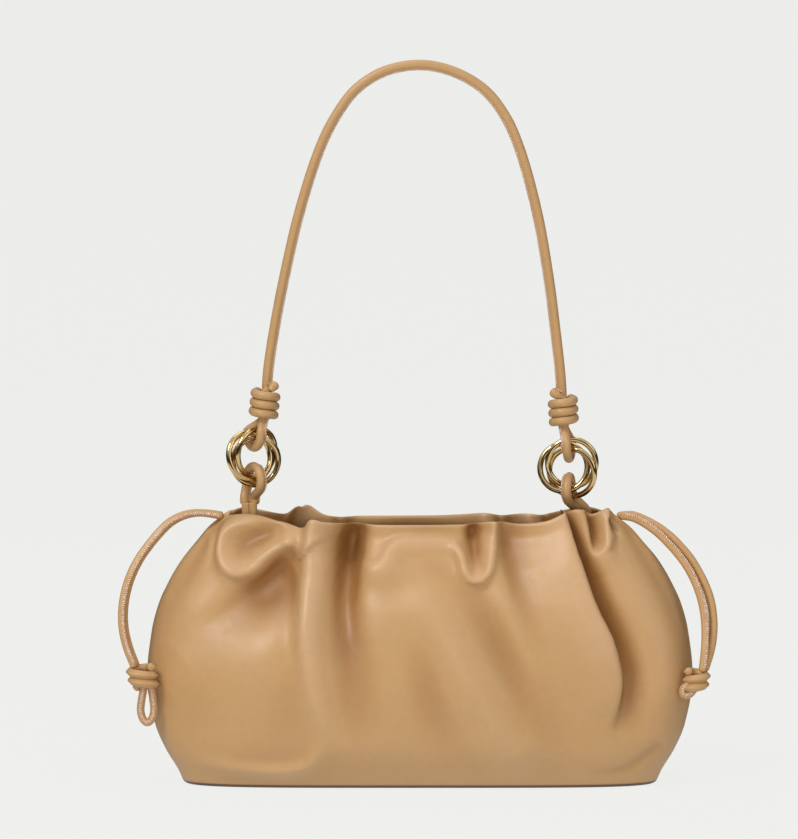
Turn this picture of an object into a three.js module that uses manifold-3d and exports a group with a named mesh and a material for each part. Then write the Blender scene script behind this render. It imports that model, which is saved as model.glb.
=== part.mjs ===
// A soft leather pouch bag: a gathered body, a rolled shoulder strap hung on interlocked rings,
// and a knotted drawstring at each end.
// Millimetres, +Z up. The front faces -Y, and the origin is the middle of the base, on the floor.
import * as THREE from 'three';
import { mergeVertices } from 'three/addons/utils/BufferGeometryUtils.js';
import Module from 'manifold-3d';

const wasm = await Module();
wasm.setup();

// Body
const bagWidth = 300; // side to side at the widest height
const bagDepth = 112; // front to back at the widest height, before the folds
const bagHeight = 143; // floor to the rim in the middle of the mouth
const leather = 2.2; // wall of the body
const hemWall = 3.4; // wall of the turned hem round the mouth
const hemHeight = 14; // rim to the hem's stitched edge
const rimRise = 8; // how much higher the rim stands near the ends of the mouth
const rimFollow = 0.3; // rise of the rim on each fold that stands out, as a share of the fold
const foldDepth = 11; // depth of the deepest fold
const bodyColumns = 88;

// Strap
const strapDiameter = 5;
const strapRise = 182; // top of the knots to the crown of the strap
const strapBack = 2.5; // how far the strap and its rings stand behind the middle
const tailLength = 4; // the strap's cut end above each knot
const wrapCord = 4.7; // the strap where it is pulled tight round itself
const wrapPitch = 4.9;
const wrapTurns = 2.6;
const helixSteps = 12; // points for each turn of a winding

// Rings and the loops sewn to the body
const ringOuter = 29.6;
const ringWire = 3.2;
const ringCount = 3;
const tabDiameter = 5;
const collarWidth = 8.4;
const collarThickness = 6.4;
const collarHeight = 15;
const collarEdge = 1.3; // how much is taken off its corners

// Drawstrings
const drawDiameter = 4.2;
const knotCord = 4.8;
const knotPitch = 4.6;
const knotSeat = 0.85; // how far its first turn reaches up beside the strands' ends

const clearance = 0.35; // between pieces that touch
const slack = 1.1; // round the wires and strands that a cord is bent or wound round

const tan = new THREE.MeshStandardMaterial({ color: 0xc19a6b, roughness: 0.45, metalness: 0 });
const gold = new THREE.MeshStandardMaterial({ color: 0xd9b56a, roughness: 0.15, metalness: 1 });

const halfWidth = bagWidth / 2;
const halfDepth = bagDepth / 2;

// Level sections of the body. up is a share of bagHeight, wide and deep are shares of the half width and half
// depth, and square is the superellipse's power: 2 is an ellipse and more is boxier.
const sections = [
  { up: 0, wide: 0.867, deep: 0.69, square: 4.5 },
  { up: 0.05, wide: 0.888, deep: 0.78, square: 4.2 },
  { up: 0.13, wide: 0.935, deep: 0.9, square: 3.6 },
  { up: 0.22, wide: 0.973, deep: 0.96, square: 3.1 },
  { up: 0.385, wide: 1, deep: 1, square: 2.7 },
  { up: 0.57, wide: 0.98, deep: 0.95, square: 2.5 },
  { up: 0.68, wide: 0.95, deep: 0.88, square: 2.4 },
  { up: 0.76, wide: 0.913, deep: 0.8, square: 2.3 },
  { up: 0.83, wide: 0.873, deep: 0.715, square: 2.25 },
  { up: 0.9, wide: 0.823, deep: 0.6, square: 2.2 },
  { up: 0.95, wide: 0.783, deep: 0.505, square: 2.15 },
  { up: 1, wide: 0.72, deep: 0.45, square: 2.1 },
];

// Heights of the body's rows of points, closer together at the base and in the gathers.
const rowHeights = [
  0, 0.03, 0.1, 0.19, 0.28, 0.37, 0.46, 0.545, 0.62, 0.69, 0.755, 0.815, 0.865, 0.91, 0.955, 1,
];

// Folds. path is the line that a fold follows, each point as x, z and strength: x is a share of the half width
// (on an end, of the half depth) and z a share of bagHeight. deep is a share of foldDepth, out where it is
// above 0. wide is the fold's reach to the left and to the right of a line that runs down, as shares of
// bagHeight.
const frontFolds = [
  {
    path: [[-0.57, 0.97, 0.9], [-0.66, 0.94, 1], [-0.69, 0.91, 1], [-0.69, 0.84, 1], [-0.63, 0.8, 1],
      [-0.58, 0.84, 1], [-0.53, 0.9, 1], [-0.48, 0.94, 0.9], [-0.42, 0.95, 0.8]],
    deep: 0.55, wide: [0.042, 0.042],
  },
  { path: [[-0.5, 0.96, 1], [-0.58, 0.91, 1], [-0.63, 0.85, 0.8]], deep: -0.55, wide: [0.042, 0.042] },
  {
    path: [[-0.43, 0.9, 1], [-0.49, 0.85, 1], [-0.58, 0.77, 0.9], [-0.69, 0.7, 0.5], [-0.8, 0.62, 0.1]],
    deep: -0.95, wide: [0.046, 0.104],
  },
  { path: [[-0.41, 0.9, 0.7], [-0.44, 0.79, 0.9], [-0.47, 0.63, 0.1]], deep: -0.45, wide: [0.042, 0.042] },
  { path: [[-0.45, 0.72, 0.6], [-0.58, 0.49, 1], [-0.72, 0.18, 0.3]], deep: 0.27, wide: [0.1, 0.1] },
  {
    path: [[-0.34, 1.04, 1], [-0.38, 0.92, 1], [-0.4, 0.77, 0.9], [-0.4, 0.57, 0.6], [-0.37, 0.36, 0.4],
      [-0.3, 0.13, 0]],
    deep: 0.91, wide: [0.046, 0.058],
  },
  {
    path: [[-0.23, 1.03, 0.6], [-0.24, 0.98, 0.7], [-0.26, 0.92, 1], [-0.27, 0.8, 0.9],
      [-0.26, 0.63, 0.5], [-0.23, 0.42, 0.3], [-0.18, 0.21, 0]],
    deep: -1.09, wide: [0.042, 0.042],
  },
  {
    path: [[-0.23, 0.86, 0.5], [-0.18, 0.85, 1], [-0.13, 0.87, 1], [-0.11, 0.9, 1], [-0.08, 0.93, 1],
      [0.01, 0.94, 1], [0.11, 0.93, 1], [0.15, 0.87, 1], [0.17, 0.81, 1], [0.21, 0.79, 1],
      [0.24, 0.82, 1], [0.26, 0.91, 1], [0.27, 1.04, 1]],
    deep: 0.45, wide: [0.058, 0.042],
  },
  {
    path: [[0.18, 1.03, 0.2], [0.18, 0.97, 1], [0.19, 0.9, 0.8], [0.21, 0.84, 0.3]],
    deep: -0.64, wide: [0.042, 0.042],
  },
  {
    path: [[0.3, 1.05, 0.5], [0.32, 0.92, 1], [0.37, 0.74, 0.5], [0.43, 0.57, 0]],
    deep: -0.55, wide: [0.042, 0.042],
  },
  { path: [[0.28, 0.78, 0.5], [0.34, 0.59, 1], [0.42, 0.32, 0.2]], deep: 0.22, wide: [0.062, 0.062] },
  { path: [[0.02, 0.72, 0.4], [0.15, 0.48, 1], [0.35, 0.17, 0.6]], deep: 0.41, wide: [0.1, 0.077] },
  { path: [[-0.01, 0.69, 0.2], [0.04, 0.38, 1], [0.12, 0.14, 0.3]], deep: -0.2, wide: [0.077, 0.069] },
  { path: [[0.4, 0.92, 0.4], [0.48, 0.73, 1], [0.61, 0.38, 0.3]], deep: 0.27, wide: [0.085, 0.085] },
  {
    path: [[0.49, 1.05, 0.9], [0.54, 0.9, 1], [0.65, 0.71, 1], [0.74, 0.54, 1], [0.76, 0.39, 0.7],
      [0.67, 0.18, 0]],
    deep: 0.64, wide: [0.1, 0.042],
  },
  {
    path: [[0.52, 1.03, 0.8], [0.57, 0.9, 1], [0.67, 0.71, 1], [0.77, 0.53, 0.9], [0.8, 0.38, 0.7],
      [0.68, 0.15, 0]],
    deep: -0.86, wide: [0.042, 0.065],
  },
  { path: [[0.58, 1.03, 1], [0.6, 0.93, 1], [0.67, 0.81, 0.2]], deep: 0.45, wide: [0.042, 0.042] },
  { path: [[0.68, 1.02, 1], [0.69, 0.96, 1], [0.68, 0.88, 0.3]], deep: 0.55, wide: [0.042, 0.042] },
  { path: [[0.81, 0.75, 0.5], [0.89, 0.54, 1], [0.88, 0.24, 0.5]], deep: 0.27, wide: [0.085, 0.077] },
  {
    path: [[-0.84, 0.11, 0], [-0.66, 0.08, 0.7], [-0.47, 0.07, 1], [-0.4, 0.1, 0.7], [-0.36, 0.18, 0]],
    deep: 0.14, wide: [0.042, 0.042],
  },
];
const backFolds = [
  { path: [[-0.6, 1.03, 1], [-0.66, 0.75, 0.6], [-0.72, 0.42, 0.2]], deep: 0.7, wide: [0.045, 0.06] },
  { path: [[-0.5, 1.02, 1], [-0.56, 0.77, 0.5], [-0.62, 0.45, 0]], deep: -0.8, wide: [0.045, 0.05] },
  { path: [[-0.4, 1.03, 1], [-0.4, 0.71, 0.6], [-0.36, 0.3, 0.2]], deep: 0.8, wide: [0.05, 0.06] },
  { path: [[-0.3, 1, 1], [-0.28, 0.76, 0.5], [-0.22, 0.45, 0]], deep: -0.7, wide: [0.04, 0.05] },
  { path: [[-0.22, 0.92, 1], [0, 0.94, 1], [0.2, 0.9, 1]], deep: 0.45, wide: [0.06, 0.03] },
  { path: [[0.24, 1.02, 1], [0.23, 0.72, 0.6], [0.18, 0.35, 0.2]], deep: 0.6, wide: [0.05, 0.045] },
  { path: [[0.31, 1, 1], [0.34, 0.78, 0.5], [0.38, 0.5, 0]], deep: -0.8, wide: [0.045, 0.045] },
  { path: [[0.39, 1.03, 1], [0.46, 0.69, 0.6], [0.56, 0.28, 0.2]], deep: 0.75, wide: [0.055, 0.045] },
  { path: [[0.47, 1.02, 1], [0.56, 0.78, 0.5], [0.66, 0.48, 0]], deep: -0.6, wide: [0.035, 0.04] },
  { path: [[0.6, 1.03, 1], [0.67, 0.83, 0.5], [0.76, 0.6, 0]], deep: 0.6, wide: [0.05, 0.045] },
  { path: [[0.1, 0.7, 0.6], [-0.12, 0.49, 0.7], [-0.4, 0.24, 0.8]], deep: 0.4, wide: [0.09, 0.09] },
];
const endFolds = [
  { path: [[-0.16, 0.97, 1], [-0.29, 0.78, 0.5], [-0.42, 0.55, 0]], deep: -0.25, wide: [0.04, 0.04] },
  { path: [[0.16, 0.97, 1], [0.29, 0.77, 0.5], [0.45, 0.5, 0]], deep: -0.3, wide: [0.04, 0.04] },
  { path: [[0, 0.86, 1], [0.01, 0.58, 0.5], [0, 0.25, 0]], deep: 0.2, wide: [0.06, 0.06] },
];

// The strap's arch from the knots to the crown. up is a share of strapRise, and left and right are shares of
// the knots' own distances from the middle.
const arch = [
  { up: 0.075, left: 0.987, right: 0.988 },
  { up: 0.22, left: 0.938, right: 0.949 },
  { up: 0.365, left: 0.877, right: 0.904 },
  { up: 0.558, left: 0.78, right: 0.823 },
  { up: 0.752, left: 0.645, right: 0.697 },
  { up: 0.848, left: 0.542, right: 0.596 },
  { up: 0.927, left: 0.413, right: 0.448 },
  { up: 0.981, left: 0.229, right: 0.228 },
];

// Each end of the strap. ringX and tabX are shares of the half width: the middle of the bunch of rings, and
// where its sewn loop meets the body. The lengths are in millimetres: proud is how far the collar stands above
// the rim in the middle of the mouth, tab is the sewn loop from the collar to the wires, neck is the strap
// between the wires and the knot, knotX is how far the knot stands from the middle of the bunch, lean is how
// far the knot's foot stands from its top, and spread is how far apart the rings lie. yaw turns the bunch
// about Z and phase turns the rings round it. winding is how the drawstring's knot is wound: its turns, its
// radius to the middle of the cord, how far in towards the bag it starts and how far in it leans for each
// millimetre down. bight is the cord's loop below it, in millimetres from the middle of the strands' ends: in
// towards the bag, along Y and up.
const ends = [
  {
    side: 'left', sign: -1, ringX: -0.61, tabX: -0.628, proud: 9.3, tab: 12.2, neck: 7.6,
    knotX: 6.6, lean: -1.6, spread: 2.7, yaw: 32, phase: 305,
    winding: { turns: 2.4, radius: 5.6, start: 3, lean: 0.2 },
    bight: [
      [4.9, 0, -8], [4.7, -1, -14], [3.7, -1, -20], [3.3, -1, -25.5], [4.7, -1, -30], [6.9, -1, -31.7],
      [9.1, -1, -30], [10.5, -1, -25.5], [10.1, -1, -19.5], [9.1, -1, -13], [8.5, 0, -8],
    ],
  },
  {
    side: 'right', sign: 1, ringX: 0.548, tabX: 0.6, proud: 1, tab: 14.6, neck: 9.6,
    knotX: -3.6, lean: 0.8, spread: 3, yaw: -12, phase: 60,
    winding: { turns: 1.9, radius: 4.7, start: 3.4, lean: 0.15 },
    bight: [
      [6.5, 0, -5.9], [8.9, -0.9, -8.3], [11.4, -1.7, -10.8], [11.4, -2.3, -14], [8.2, -1.7, -14],
      [5.7, -0.9, -11.5], [3.3, 0, -9.1],
    ],
  },
];

// Free routes of the drawstrings' strands from the body's ends to their knots, chosen by hand.
const drawRoutes = {
  left_drawstring_front: [
    [-110, -2.3, 145.6], [-117, -3, 146.9], [-124, -4, 147.3], [-131, -6, 146], [-138, -8, 142.4],
    [-144.5, -10.5, 136], [-149.8, -13, 129.5], [-154, -15.5, 123.5], [-158.2, -18, 115.5],
    [-161.3, -20.5, 106], [-162.8, -23.6, 95.5], [-162.2, -27, 85.3], [-159.7, -30.6, 75.7],
    [-155.9, -33.5, 66.8],
  ],
  left_drawstring_back: [
    [-110, 2.3, 145.6], [-117, 1.6, 146.6], [-123.5, 0.6, 146.8], [-130.3, -1.4, 145.3],
    [-137.2, -3.4, 141.6], [-143.6, -6, 135.3], [-148.9, -8.4, 128.9], [-153.1, -10.9, 122.9],
    [-157.2, -13.4, 114.9], [-160.3, -15.9, 105.5], [-161.8, -19, 95], [-161.2, -22.4, 85],
    [-158.7, -26, 75.7], [-155.1, -28.9, 66.8],
  ],
  right_drawstring_front: [
    [111.6, -2.3, 145.4], [117, -3.2, 144.5], [123.8, -5, 141.2], [131.2, -8, 135.8], [137, -10.4, 130],
    [141.6, -12.6, 124.8], [146.2, -15.2, 118.4], [149.7, -17.8, 111.8], [152.3, -20.2, 105.2],
    [154.2, -22.6, 98], [155.3, -25.6, 89], [155.3, -28.6, 80.6], [154.6, -31.4, 72.6],
    [153.5, -33.4, 64.5],
  ],
  right_drawstring_back: [
    [110.2, 2.3, 145.4], [117, 1.4, 145.8], [124.8, -0.8, 143], [131.8, -3.4, 139.2],
    [139, -6, 133.6], [144, -8, 128.4], [148.5, -10, 123], [153, -12.6, 115.6], [156.4, -15.4, 108.6],
    [159.2, -18.4, 100], [160.4, -21.6, 90], [160, -24.6, 81.2], [158.2, -27.4, 72.8],
    [155.5, -29.2, 64.5],
  ],
};

const smooth = (low, high, value) => {
  const t = Math.min(1, Math.max(0, (value - low) / (high - low)));
  return t * t * (3 - 2 * t);
};

// A column of a table at a height between its rows, on a smooth curve through them.
function column(table, key, up) {
  let i = 0;
  while (i < table.length - 2 && table[i + 1].up < up) i += 1;
  const slope = (j) => {
    const low = table[Math.max(0, j - 1)];
    const high = table[Math.min(table.length - 1, j + 1)];
    return (high[key] - low[key]) / (high.up - low.up);
  };
  const [p, q] = [table[i], table[i + 1]];
  const step = q.up - p.up;
  const t = (up - p.up) / step;
  const rise = smooth(0, 1, t) * (q[key] - p[key]);
  return p[key] + rise + step * (slope(i) * t * (1 - t) ** 2 - slope(i + 1) * t * t * (1 - t));
}

// The fold's line as short straight pieces, in millimetres and with the strength as the third number.
function traced(fold, half) {
  const points = fold.path.map(([x, z, strength]) => new THREE.Vector3(x * half, z * bagHeight, strength));
  const line = new THREE.CatmullRomCurve3(points, false, 'centripetal');
  return { ...fold, points: line.getPoints(5 * points.length) };
}

// How far the folds push the leather out at a point of the face.
function folded(folds, x, z) {
  let total = 0;
  for (const { points, deep, wide } of folds) {
    let best = { d: Infinity, strength: 0, side: 1 };
    for (let i = 0; i < points.length - 1; i += 1) {
      const [a, b] = [points[i], points[i + 1]];
      const [tx, tz] = [b.x - a.x, b.y - a.y];
      const [px, pz] = [x - a.x, z - a.y];
      const t = Math.min(1, Math.max(0, (px * tx + pz * tz) / (tx * tx + tz * tz)));
      const d = Math.hypot(px - t * tx, pz - t * tz);
      if (d < best.d) best = { d, strength: a.z + t * (b.z - a.z), side: tx * pz - tz * px };
    }
    const width = wide[best.side > 0 ? 1 : 0] * bagHeight;
    total += foldDepth * deep * best.strength * Math.exp(-((best.d / width) ** 2));
  }
  return total;
}

const front = frontFolds.map((fold) => traced(fold, halfWidth));
const back = backFolds.map((fold) => traced(fold, halfWidth));
const end = endFolds.map((fold) => traced(fold, halfDepth));
const mouthHalf = column(sections, 'wide', 1) * halfWidth;

// A point of the leather: turn runs round the body from its left end past the front, up is the share of the
// height, and inset is how far inside the outer face the point lies.
function bodyPoint(turn, up, inset = 0) {
  const angle = Math.PI + turn * 2 * Math.PI;
  const [c, s] = [Math.cos(angle), Math.sin(angle)];
  const a = column(sections, 'wide', up) * halfWidth;
  const b = column(sections, 'deep', up) * halfDepth;
  const n = column(sections, 'square', up);
  const k = (Math.abs(c) ** n + Math.abs(s) ** n) ** (-1 / n);
  const [x, y, z] = [a * c * k, b * s * k, up * bagHeight];
  const normal = new THREE.Vector2(
    (Math.sign(c) * Math.abs(c * k) ** (n - 1)) / a,
    (Math.sign(s) * Math.abs(s * k) ** (n - 1)) / b,
  ).normalize();
  const out =
    smooth(0.1, 0.5, -normal.y) * folded(front, x, z) +
    smooth(0.1, 0.5, normal.y) * folded(back, x, z) +
    smooth(0.35, 0.8, Math.abs(normal.x)) * folded(end, y, z);
  const settled = out * smooth(0, 0.06, up);
  const reach = Math.abs(x) / mouthHalf;
  const swell = rimRise * Math.exp(-(((reach - 0.88) / (reach < 0.88 ? 0.25 : 0.11)) ** 2));
  const lift = smooth(0.6, 1, up) * (swell + rimFollow * settled);
  return new THREE.Vector3(x + normal.x * (settled - inset), y + normal.y * (settled - inset), z + lift);
}

// One closed skin over a list of rings of points, with a flat fan over the first ring and the last.
function skinned(rings) {
  const count = rings[0].length;
  const middle = (ring) => {
    const sum = ring.reduce((total, p) => total.add(p), new THREE.Vector3());
    return sum.divideScalar(ring.length);
  };
  const points = [...rings.flat(), middle(rings[0]), middle(rings.at(-1))];
  const faces = [];
  for (let r = 0; r < rings.length - 1; r += 1) {
    for (let i = 0; i < count; i += 1) {
      const j = (i + 1) % count;
      const [a, b, c, d] = [r * count + i, r * count + j, (r + 1) * count + j, (r + 1) * count + i];
      faces.push(a, b, c, a, c, d);
    }
  }
  const [first, last, top] = [points.length - 2, points.length - 1, (rings.length - 1) * count];
  for (let i = 0; i < count; i += 1) {
    const j = (i + 1) % count;
    faces.push(first, j, i, last, top + i, top + j);
  }
  const geometry = new THREE.BufferGeometry().setFromPoints(points);
  geometry.setIndex(faces);
  geometry.computeVertexNormals();
  return geometry;
}

// A round cord of one piece along a curve.
function cord(curve, diameter, sides, steps) {
  const outline = [];
  for (let i = 0; i < sides; i += 1) {
    const angle = (2 * Math.PI * (i + 0.5)) / sides;
    outline.push(new THREE.Vector2(Math.cos(angle), Math.sin(angle)).multiplyScalar(diameter / 2));
  }
  const section = new THREE.Shape(outline);
  return new THREE.ExtrudeGeometry(section, { extrudePath: curve, steps, bevelEnabled: false });
}

const through = (points) => new THREE.CatmullRomCurve3(points, false, 'centripetal');

function named(name, geometry, material) {
  const mesh = new THREE.Mesh(geometry, material);
  mesh.name = name;
  return mesh;
}

// Overlapping geometries joined into one closed piece.
function joined(geometries) {
  const solids = geometries.map((geometry) => {
    const bare = geometry.clone();
    bare.deleteAttribute('normal');
    bare.deleteAttribute('uv');
    const merged = mergeVertices(bare, 1e-4);
    const mesh = new wasm.Mesh({
      numProp: 3,
      vertProperties: new Float32Array(merged.attributes.position.array),
      triVerts: new Uint32Array(merged.index.array),
    });
    return new wasm.Manifold(mesh);
  });
  const whole = solids.reduce((sum, solid) => sum.add(solid)).getMesh();
  const geometry = new THREE.BufferGeometry();
  geometry.setAttribute('position', new THREE.BufferAttribute(new Float32Array(whole.vertProperties), 3));
  geometry.setIndex(new THREE.BufferAttribute(new Uint32Array(whole.triVerts), 1));
  geometry.computeVertexNormals();
  return geometry;
}

// The body: up the outside, over the rim, down the inside and across the floor of the bag.
function bagBody() {
  const ring = (up, inset, floor = 0) =>
    Array.from({ length: bodyColumns }, (_, i) => {
      const point = bodyPoint(i / bodyColumns, up, inset);
      point.z = Math.max(point.z, floor);
      return point;
    });
  const outside = rowHeights.map((up) => ring(up, 0));
  const floorShare = leather / bagHeight;
  const inside = rowHeights
    .filter((up) => up > floorShare)
    .map((up) => {
      const hemmed = smooth(1 - (1.4 * hemHeight) / bagHeight, 1 - (0.8 * hemHeight) / bagHeight, up);
      return ring(up, leather + (hemWall - leather) * hemmed, leather);
    });
  return skinned([...outside, ...inside.reverse(), ring(floorShare, leather, leather)]);
}

const ringRadius = (ringOuter - ringWire) / 2;

const bunchCentre = ({ ringX, proud, tab }) =>
  new THREE.Vector3(ringX * halfWidth, strapBack, bagHeight + proud + tab + ringRadius);

// The rings of a bunch are circles that lie on one torus, each tilted the same way, so every two of them link.
function ringBunch(endRow) {
  const { yaw, spread, phase } = endRow;
  const tilt = Math.asin(spread / ringRadius);
  const bunch = new THREE.Group();
  bunch.position.copy(bunchCentre(endRow));
  bunch.rotation.z = THREE.MathUtils.degToRad(yaw);
  for (let i = 0; i < ringCount; i += 1) {
    const ring = new THREE.Mesh(new THREE.TorusGeometry(ringRadius, ringWire / 2, 6, 20), gold);
    ring.rotation.x = tilt;
    ring.position.x = spread;
    const turned = new THREE.Group();
    turned.rotation.y = THREE.MathUtils.degToRad(phase + (360 * i) / ringCount);
    const upright = new THREE.Group();
    upright.rotation.x = Math.PI / 2;
    upright.add(ring);
    turned.add(upright);
    bunch.add(turned);
    ring.userData.number = i + 1;
  }
  return bunch;
}

// A cord's bend through the bunch and round its wires at the top or the bottom, as a point for each angle.
function hook(endRow, cordDiameter, upward) {
  const yaw = THREE.MathUtils.degToRad(endRow.yaw);
  const facing = new THREE.Vector3(Math.sin(yaw), -Math.cos(yaw), 0);
  const reach = endRow.spread + ringWire / 2 + cordDiameter / 2 + slack;
  const held = bunchCentre(endRow).add(new THREE.Vector3(0, 0, upward * ringRadius));
  return (degrees) => {
    const angle = THREE.MathUtils.degToRad(degrees);
    return held
      .clone()
      .addScaledVector(facing, Math.cos(angle) * reach)
      .add(new THREE.Vector3(0, 0, -upward * Math.sin(angle) * reach));
  };
}

const hookAngles = [0, 30, 60, 90, 120, 150, 180];

const knotHeight = 3 * wrapPitch;
const strandGap = (strapDiameter + clearance) / 2;

function knotAxis(endRow) {
  const rise = ringRadius + endRow.neck + knotHeight;
  const top = bunchCentre(endRow).add(new THREE.Vector3(endRow.knotX, 0, rise));
  const bottom = top.clone().add(new THREE.Vector3(endRow.lean, 0, -knotHeight));
  return { top, bottom };
}

// Down from the cut end through the knot, round the rings and back up through the knot.
function strapEnd(endRow) {
  const { top, bottom } = knotAxis(endRow);
  const beside = (point, side, x = 0, z = 0) => point.clone().add(new THREE.Vector3(x, side * strandGap, z));
  return [
    beside(top, -1, -endRow.sign * 1.2, tailLength),
    beside(top, -1),
    beside(bottom, -1),
    ...hookAngles.map(hook(endRow, strapDiameter, 1)),
    beside(bottom, 1),
    beside(top, 1),
  ];
}

function shoulderStrap() {
  const [leftTop, rightTop] = ends.map((endRow) => knotAxis(endRow).top);
  const crown = new THREE.Vector3(0, strapBack, (leftTop.z + rightTop.z) / 2 + strapRise);
  const leg = (row, side, top) => {
    const back = strapBack + strandGap * (1 - row.up) ** 3;
    return new THREE.Vector3(row[side] * top.x, back, top.z + row.up * (crown.z - top.z));
  };
  const rising = arch.map((row) => leg(row, 'left', leftTop));
  const falling = arch.map((row) => leg(row, 'right', rightTop)).reverse();
  const [left, right] = ends.map(strapEnd);
  return cord(through([...left, ...rising, crown, ...falling, ...right.reverse()]), strapDiameter, 6, 112);
}

// The strap's end wound round both strands: a helix on an oval core.
function strapKnot(endRow) {
  const { top, bottom } = knotAxis(endRow);
  const wide = strapDiameter / 2 + slack + wrapCord / 2;
  const deep = strandGap + wide;
  const points = [];
  for (let i = 0; i <= wrapTurns * helixSteps; i += 1) {
    const turned = i / helixSteps;
    const angle = 2 * Math.PI * turned;
    const centre = bottom.clone().lerp(top, (wrapCord / 2 + turned * wrapPitch) / knotHeight);
    points.push(centre.add(new THREE.Vector3(-Math.cos(angle) * wide, -Math.sin(angle) * deep, 0)));
  }
  return cord(through(points), wrapCord, 6, 28);
}

// The inside of the body's wall near the rim, as points along the mesh's edges.
const innerWall = [];
for (const up of rowHeights.filter((row) => row > 0.78)) {
  for (let i = 0; i < bodyColumns; i += 1) {
    const [a, b] = [i, i + 1].map((column) => bodyPoint(column / bodyColumns, up, hemWall));
    for (const share of [0, 0.25, 0.5, 0.75]) innerWall.push(a.clone().lerp(b, share));
  }
}

// The middle of the collar, which stands against the inside of the back wall.
function collarPlace({ tabX, proud }) {
  const x = tabX * halfWidth;
  const top = bagHeight + proud;
  const near = collarWidth / 2 + clearance;
  const flat = collarWidth / 2 - collarEdge;
  const beside = innerWall.filter(
    ({ x: px, y, z }) => y > 0 && Math.abs(px - x) < near && z < top + tabDiameter && z > top - collarHeight,
  );
  const nearest = Math.min(...beside.map((p) => p.y + Math.max(0, Math.abs(p.x - x) - flat)));
  return new THREE.Vector3(x, nearest - clearance - collarThickness / 2, top - collarHeight / 2);
}

// The flat ends of the sewn loop: a block with its edges taken off.
function collar(endRow) {
  const outline = new THREE.Shape();
  const [w, t, r] = [collarWidth / 2, collarThickness / 2, collarEdge];
  outline.moveTo(-w + r, -t).lineTo(w - r, -t).lineTo(w, -t + r).lineTo(w, t - r);
  outline.lineTo(w - r, t).lineTo(-w + r, t).lineTo(-w, t - r).lineTo(-w, -t + r);
  const block = new THREE.ExtrudeGeometry(outline, { depth: collarHeight, bevelEnabled: false });
  const mesh = named(`${endRow.side}_collar`, block, tan);
  mesh.position.copy(collarPlace(endRow)).add(new THREE.Vector3(0, 0, -collarHeight / 2));
  return mesh;
}

// The loop sewn to the body, which hooks the bottom of the bunch and goes down into the collar.
function ringTab(endRow) {
  const place = collarPlace(endRow);
  const apart = (tabDiameter + clearance) / 2;
  const foot = bagHeight + endRow.proud + clearance;
  const leg = (side, up) => new THREE.Vector3(place.x + side * endRow.sign * apart, place.y, foot + up);
  const bend = hookAngles.map(hook(endRow, tabDiameter, -1));
  const below = (point, side, share) => {
    const towards = point.clone().lerp(leg(side, 0), share);
    return towards.setZ(point.z - endRow.tab / 3);
  };
  const straight = tabDiameter / 2;
  const front = [leg(-1, 0), leg(-1, straight), below(bend[0], -1, 0.2)];
  const back = [below(bend.at(-1), 1, 0.3), leg(1, straight), leg(1, 0)];
  return cord(through([...front, ...bend, ...back]), tabDiameter, 6, 16);
}

const drawStrand = (name) =>
  cord(through(drawRoutes[name].map((p) => new THREE.Vector3(...p))), drawDiameter, 8, 18);

// A knot of the drawstring: a helix wound below the strands' ends, joined with a loop of the cord.
function drawKnot({ side, sign, winding, bight }) {
  const strandEnd = (which) => new THREE.Vector3(...drawRoutes[`${side}_drawstring_${which}`].at(-1));
  const last = strandEnd('front').lerp(strandEnd('back'), 0.5);
  const inward = (x, y, z) => new THREE.Vector3(-sign * x, y, z).add(last);
  const { turns, radius, start, lean } = winding;
  const steps = Math.round(turns * helixSteps);
  const wound = Array.from({ length: steps + 1 }, (_, i) => {
    const angle = (2 * Math.PI * i) / helixSteps;
    const down = knotCord / 2 - knotSeat + (knotPitch * i) / helixSteps;
    return inward(start + lean * down + Math.cos(angle) * radius, Math.sin(angle) * radius, -down);
  });
  const loop = bight.map((point) => inward(...point));
  return joined([cord(through(wound), knotCord, 6, 22), cord(through(loop), drawDiameter, 6, 14)]);
}

const bag = new THREE.Group();
bag.add(named('bag_body', bagBody(), tan));
bag.add(named('shoulder_strap', shoulderStrap(), tan));
for (const endRow of ends) {
  const { side } = endRow;
  bag.add(named(`${side}_strap_knot`, strapKnot(endRow), tan));
  bag.add(named(`${side}_ring_tab`, ringTab(endRow), tan));
  bag.add(collar(endRow));
  const bunch = ringBunch(endRow);
  bunch.traverse((piece) => {
    if (piece.isMesh) piece.name = `${side}_ring_${piece.userData.number}`;
  });
  bag.add(bunch);
  for (const strand of [`${side}_drawstring_front`, `${side}_drawstring_back`]) {
    bag.add(named(strand, drawStrand(strand), tan));
  }
  bag.add(named(`${side}_drawstring_knot`, drawKnot(endRow), tan));
}

export default bag;
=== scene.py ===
import math
import bpy
import numpy as np
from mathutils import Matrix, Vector


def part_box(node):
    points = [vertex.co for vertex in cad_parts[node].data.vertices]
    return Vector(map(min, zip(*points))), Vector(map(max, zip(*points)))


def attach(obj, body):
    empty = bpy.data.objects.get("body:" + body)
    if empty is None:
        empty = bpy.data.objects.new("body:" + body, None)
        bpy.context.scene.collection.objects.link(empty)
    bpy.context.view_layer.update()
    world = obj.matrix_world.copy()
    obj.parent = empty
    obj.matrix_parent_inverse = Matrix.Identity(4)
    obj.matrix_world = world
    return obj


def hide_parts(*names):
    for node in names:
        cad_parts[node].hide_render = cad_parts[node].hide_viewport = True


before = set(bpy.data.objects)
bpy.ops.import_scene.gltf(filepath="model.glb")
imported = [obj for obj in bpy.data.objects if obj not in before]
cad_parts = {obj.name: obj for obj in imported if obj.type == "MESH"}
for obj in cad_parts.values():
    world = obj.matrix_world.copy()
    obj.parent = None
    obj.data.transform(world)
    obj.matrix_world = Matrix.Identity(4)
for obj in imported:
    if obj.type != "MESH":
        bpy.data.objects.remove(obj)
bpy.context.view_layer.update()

print("frame loaded,", len(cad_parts), "nodes")


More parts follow.
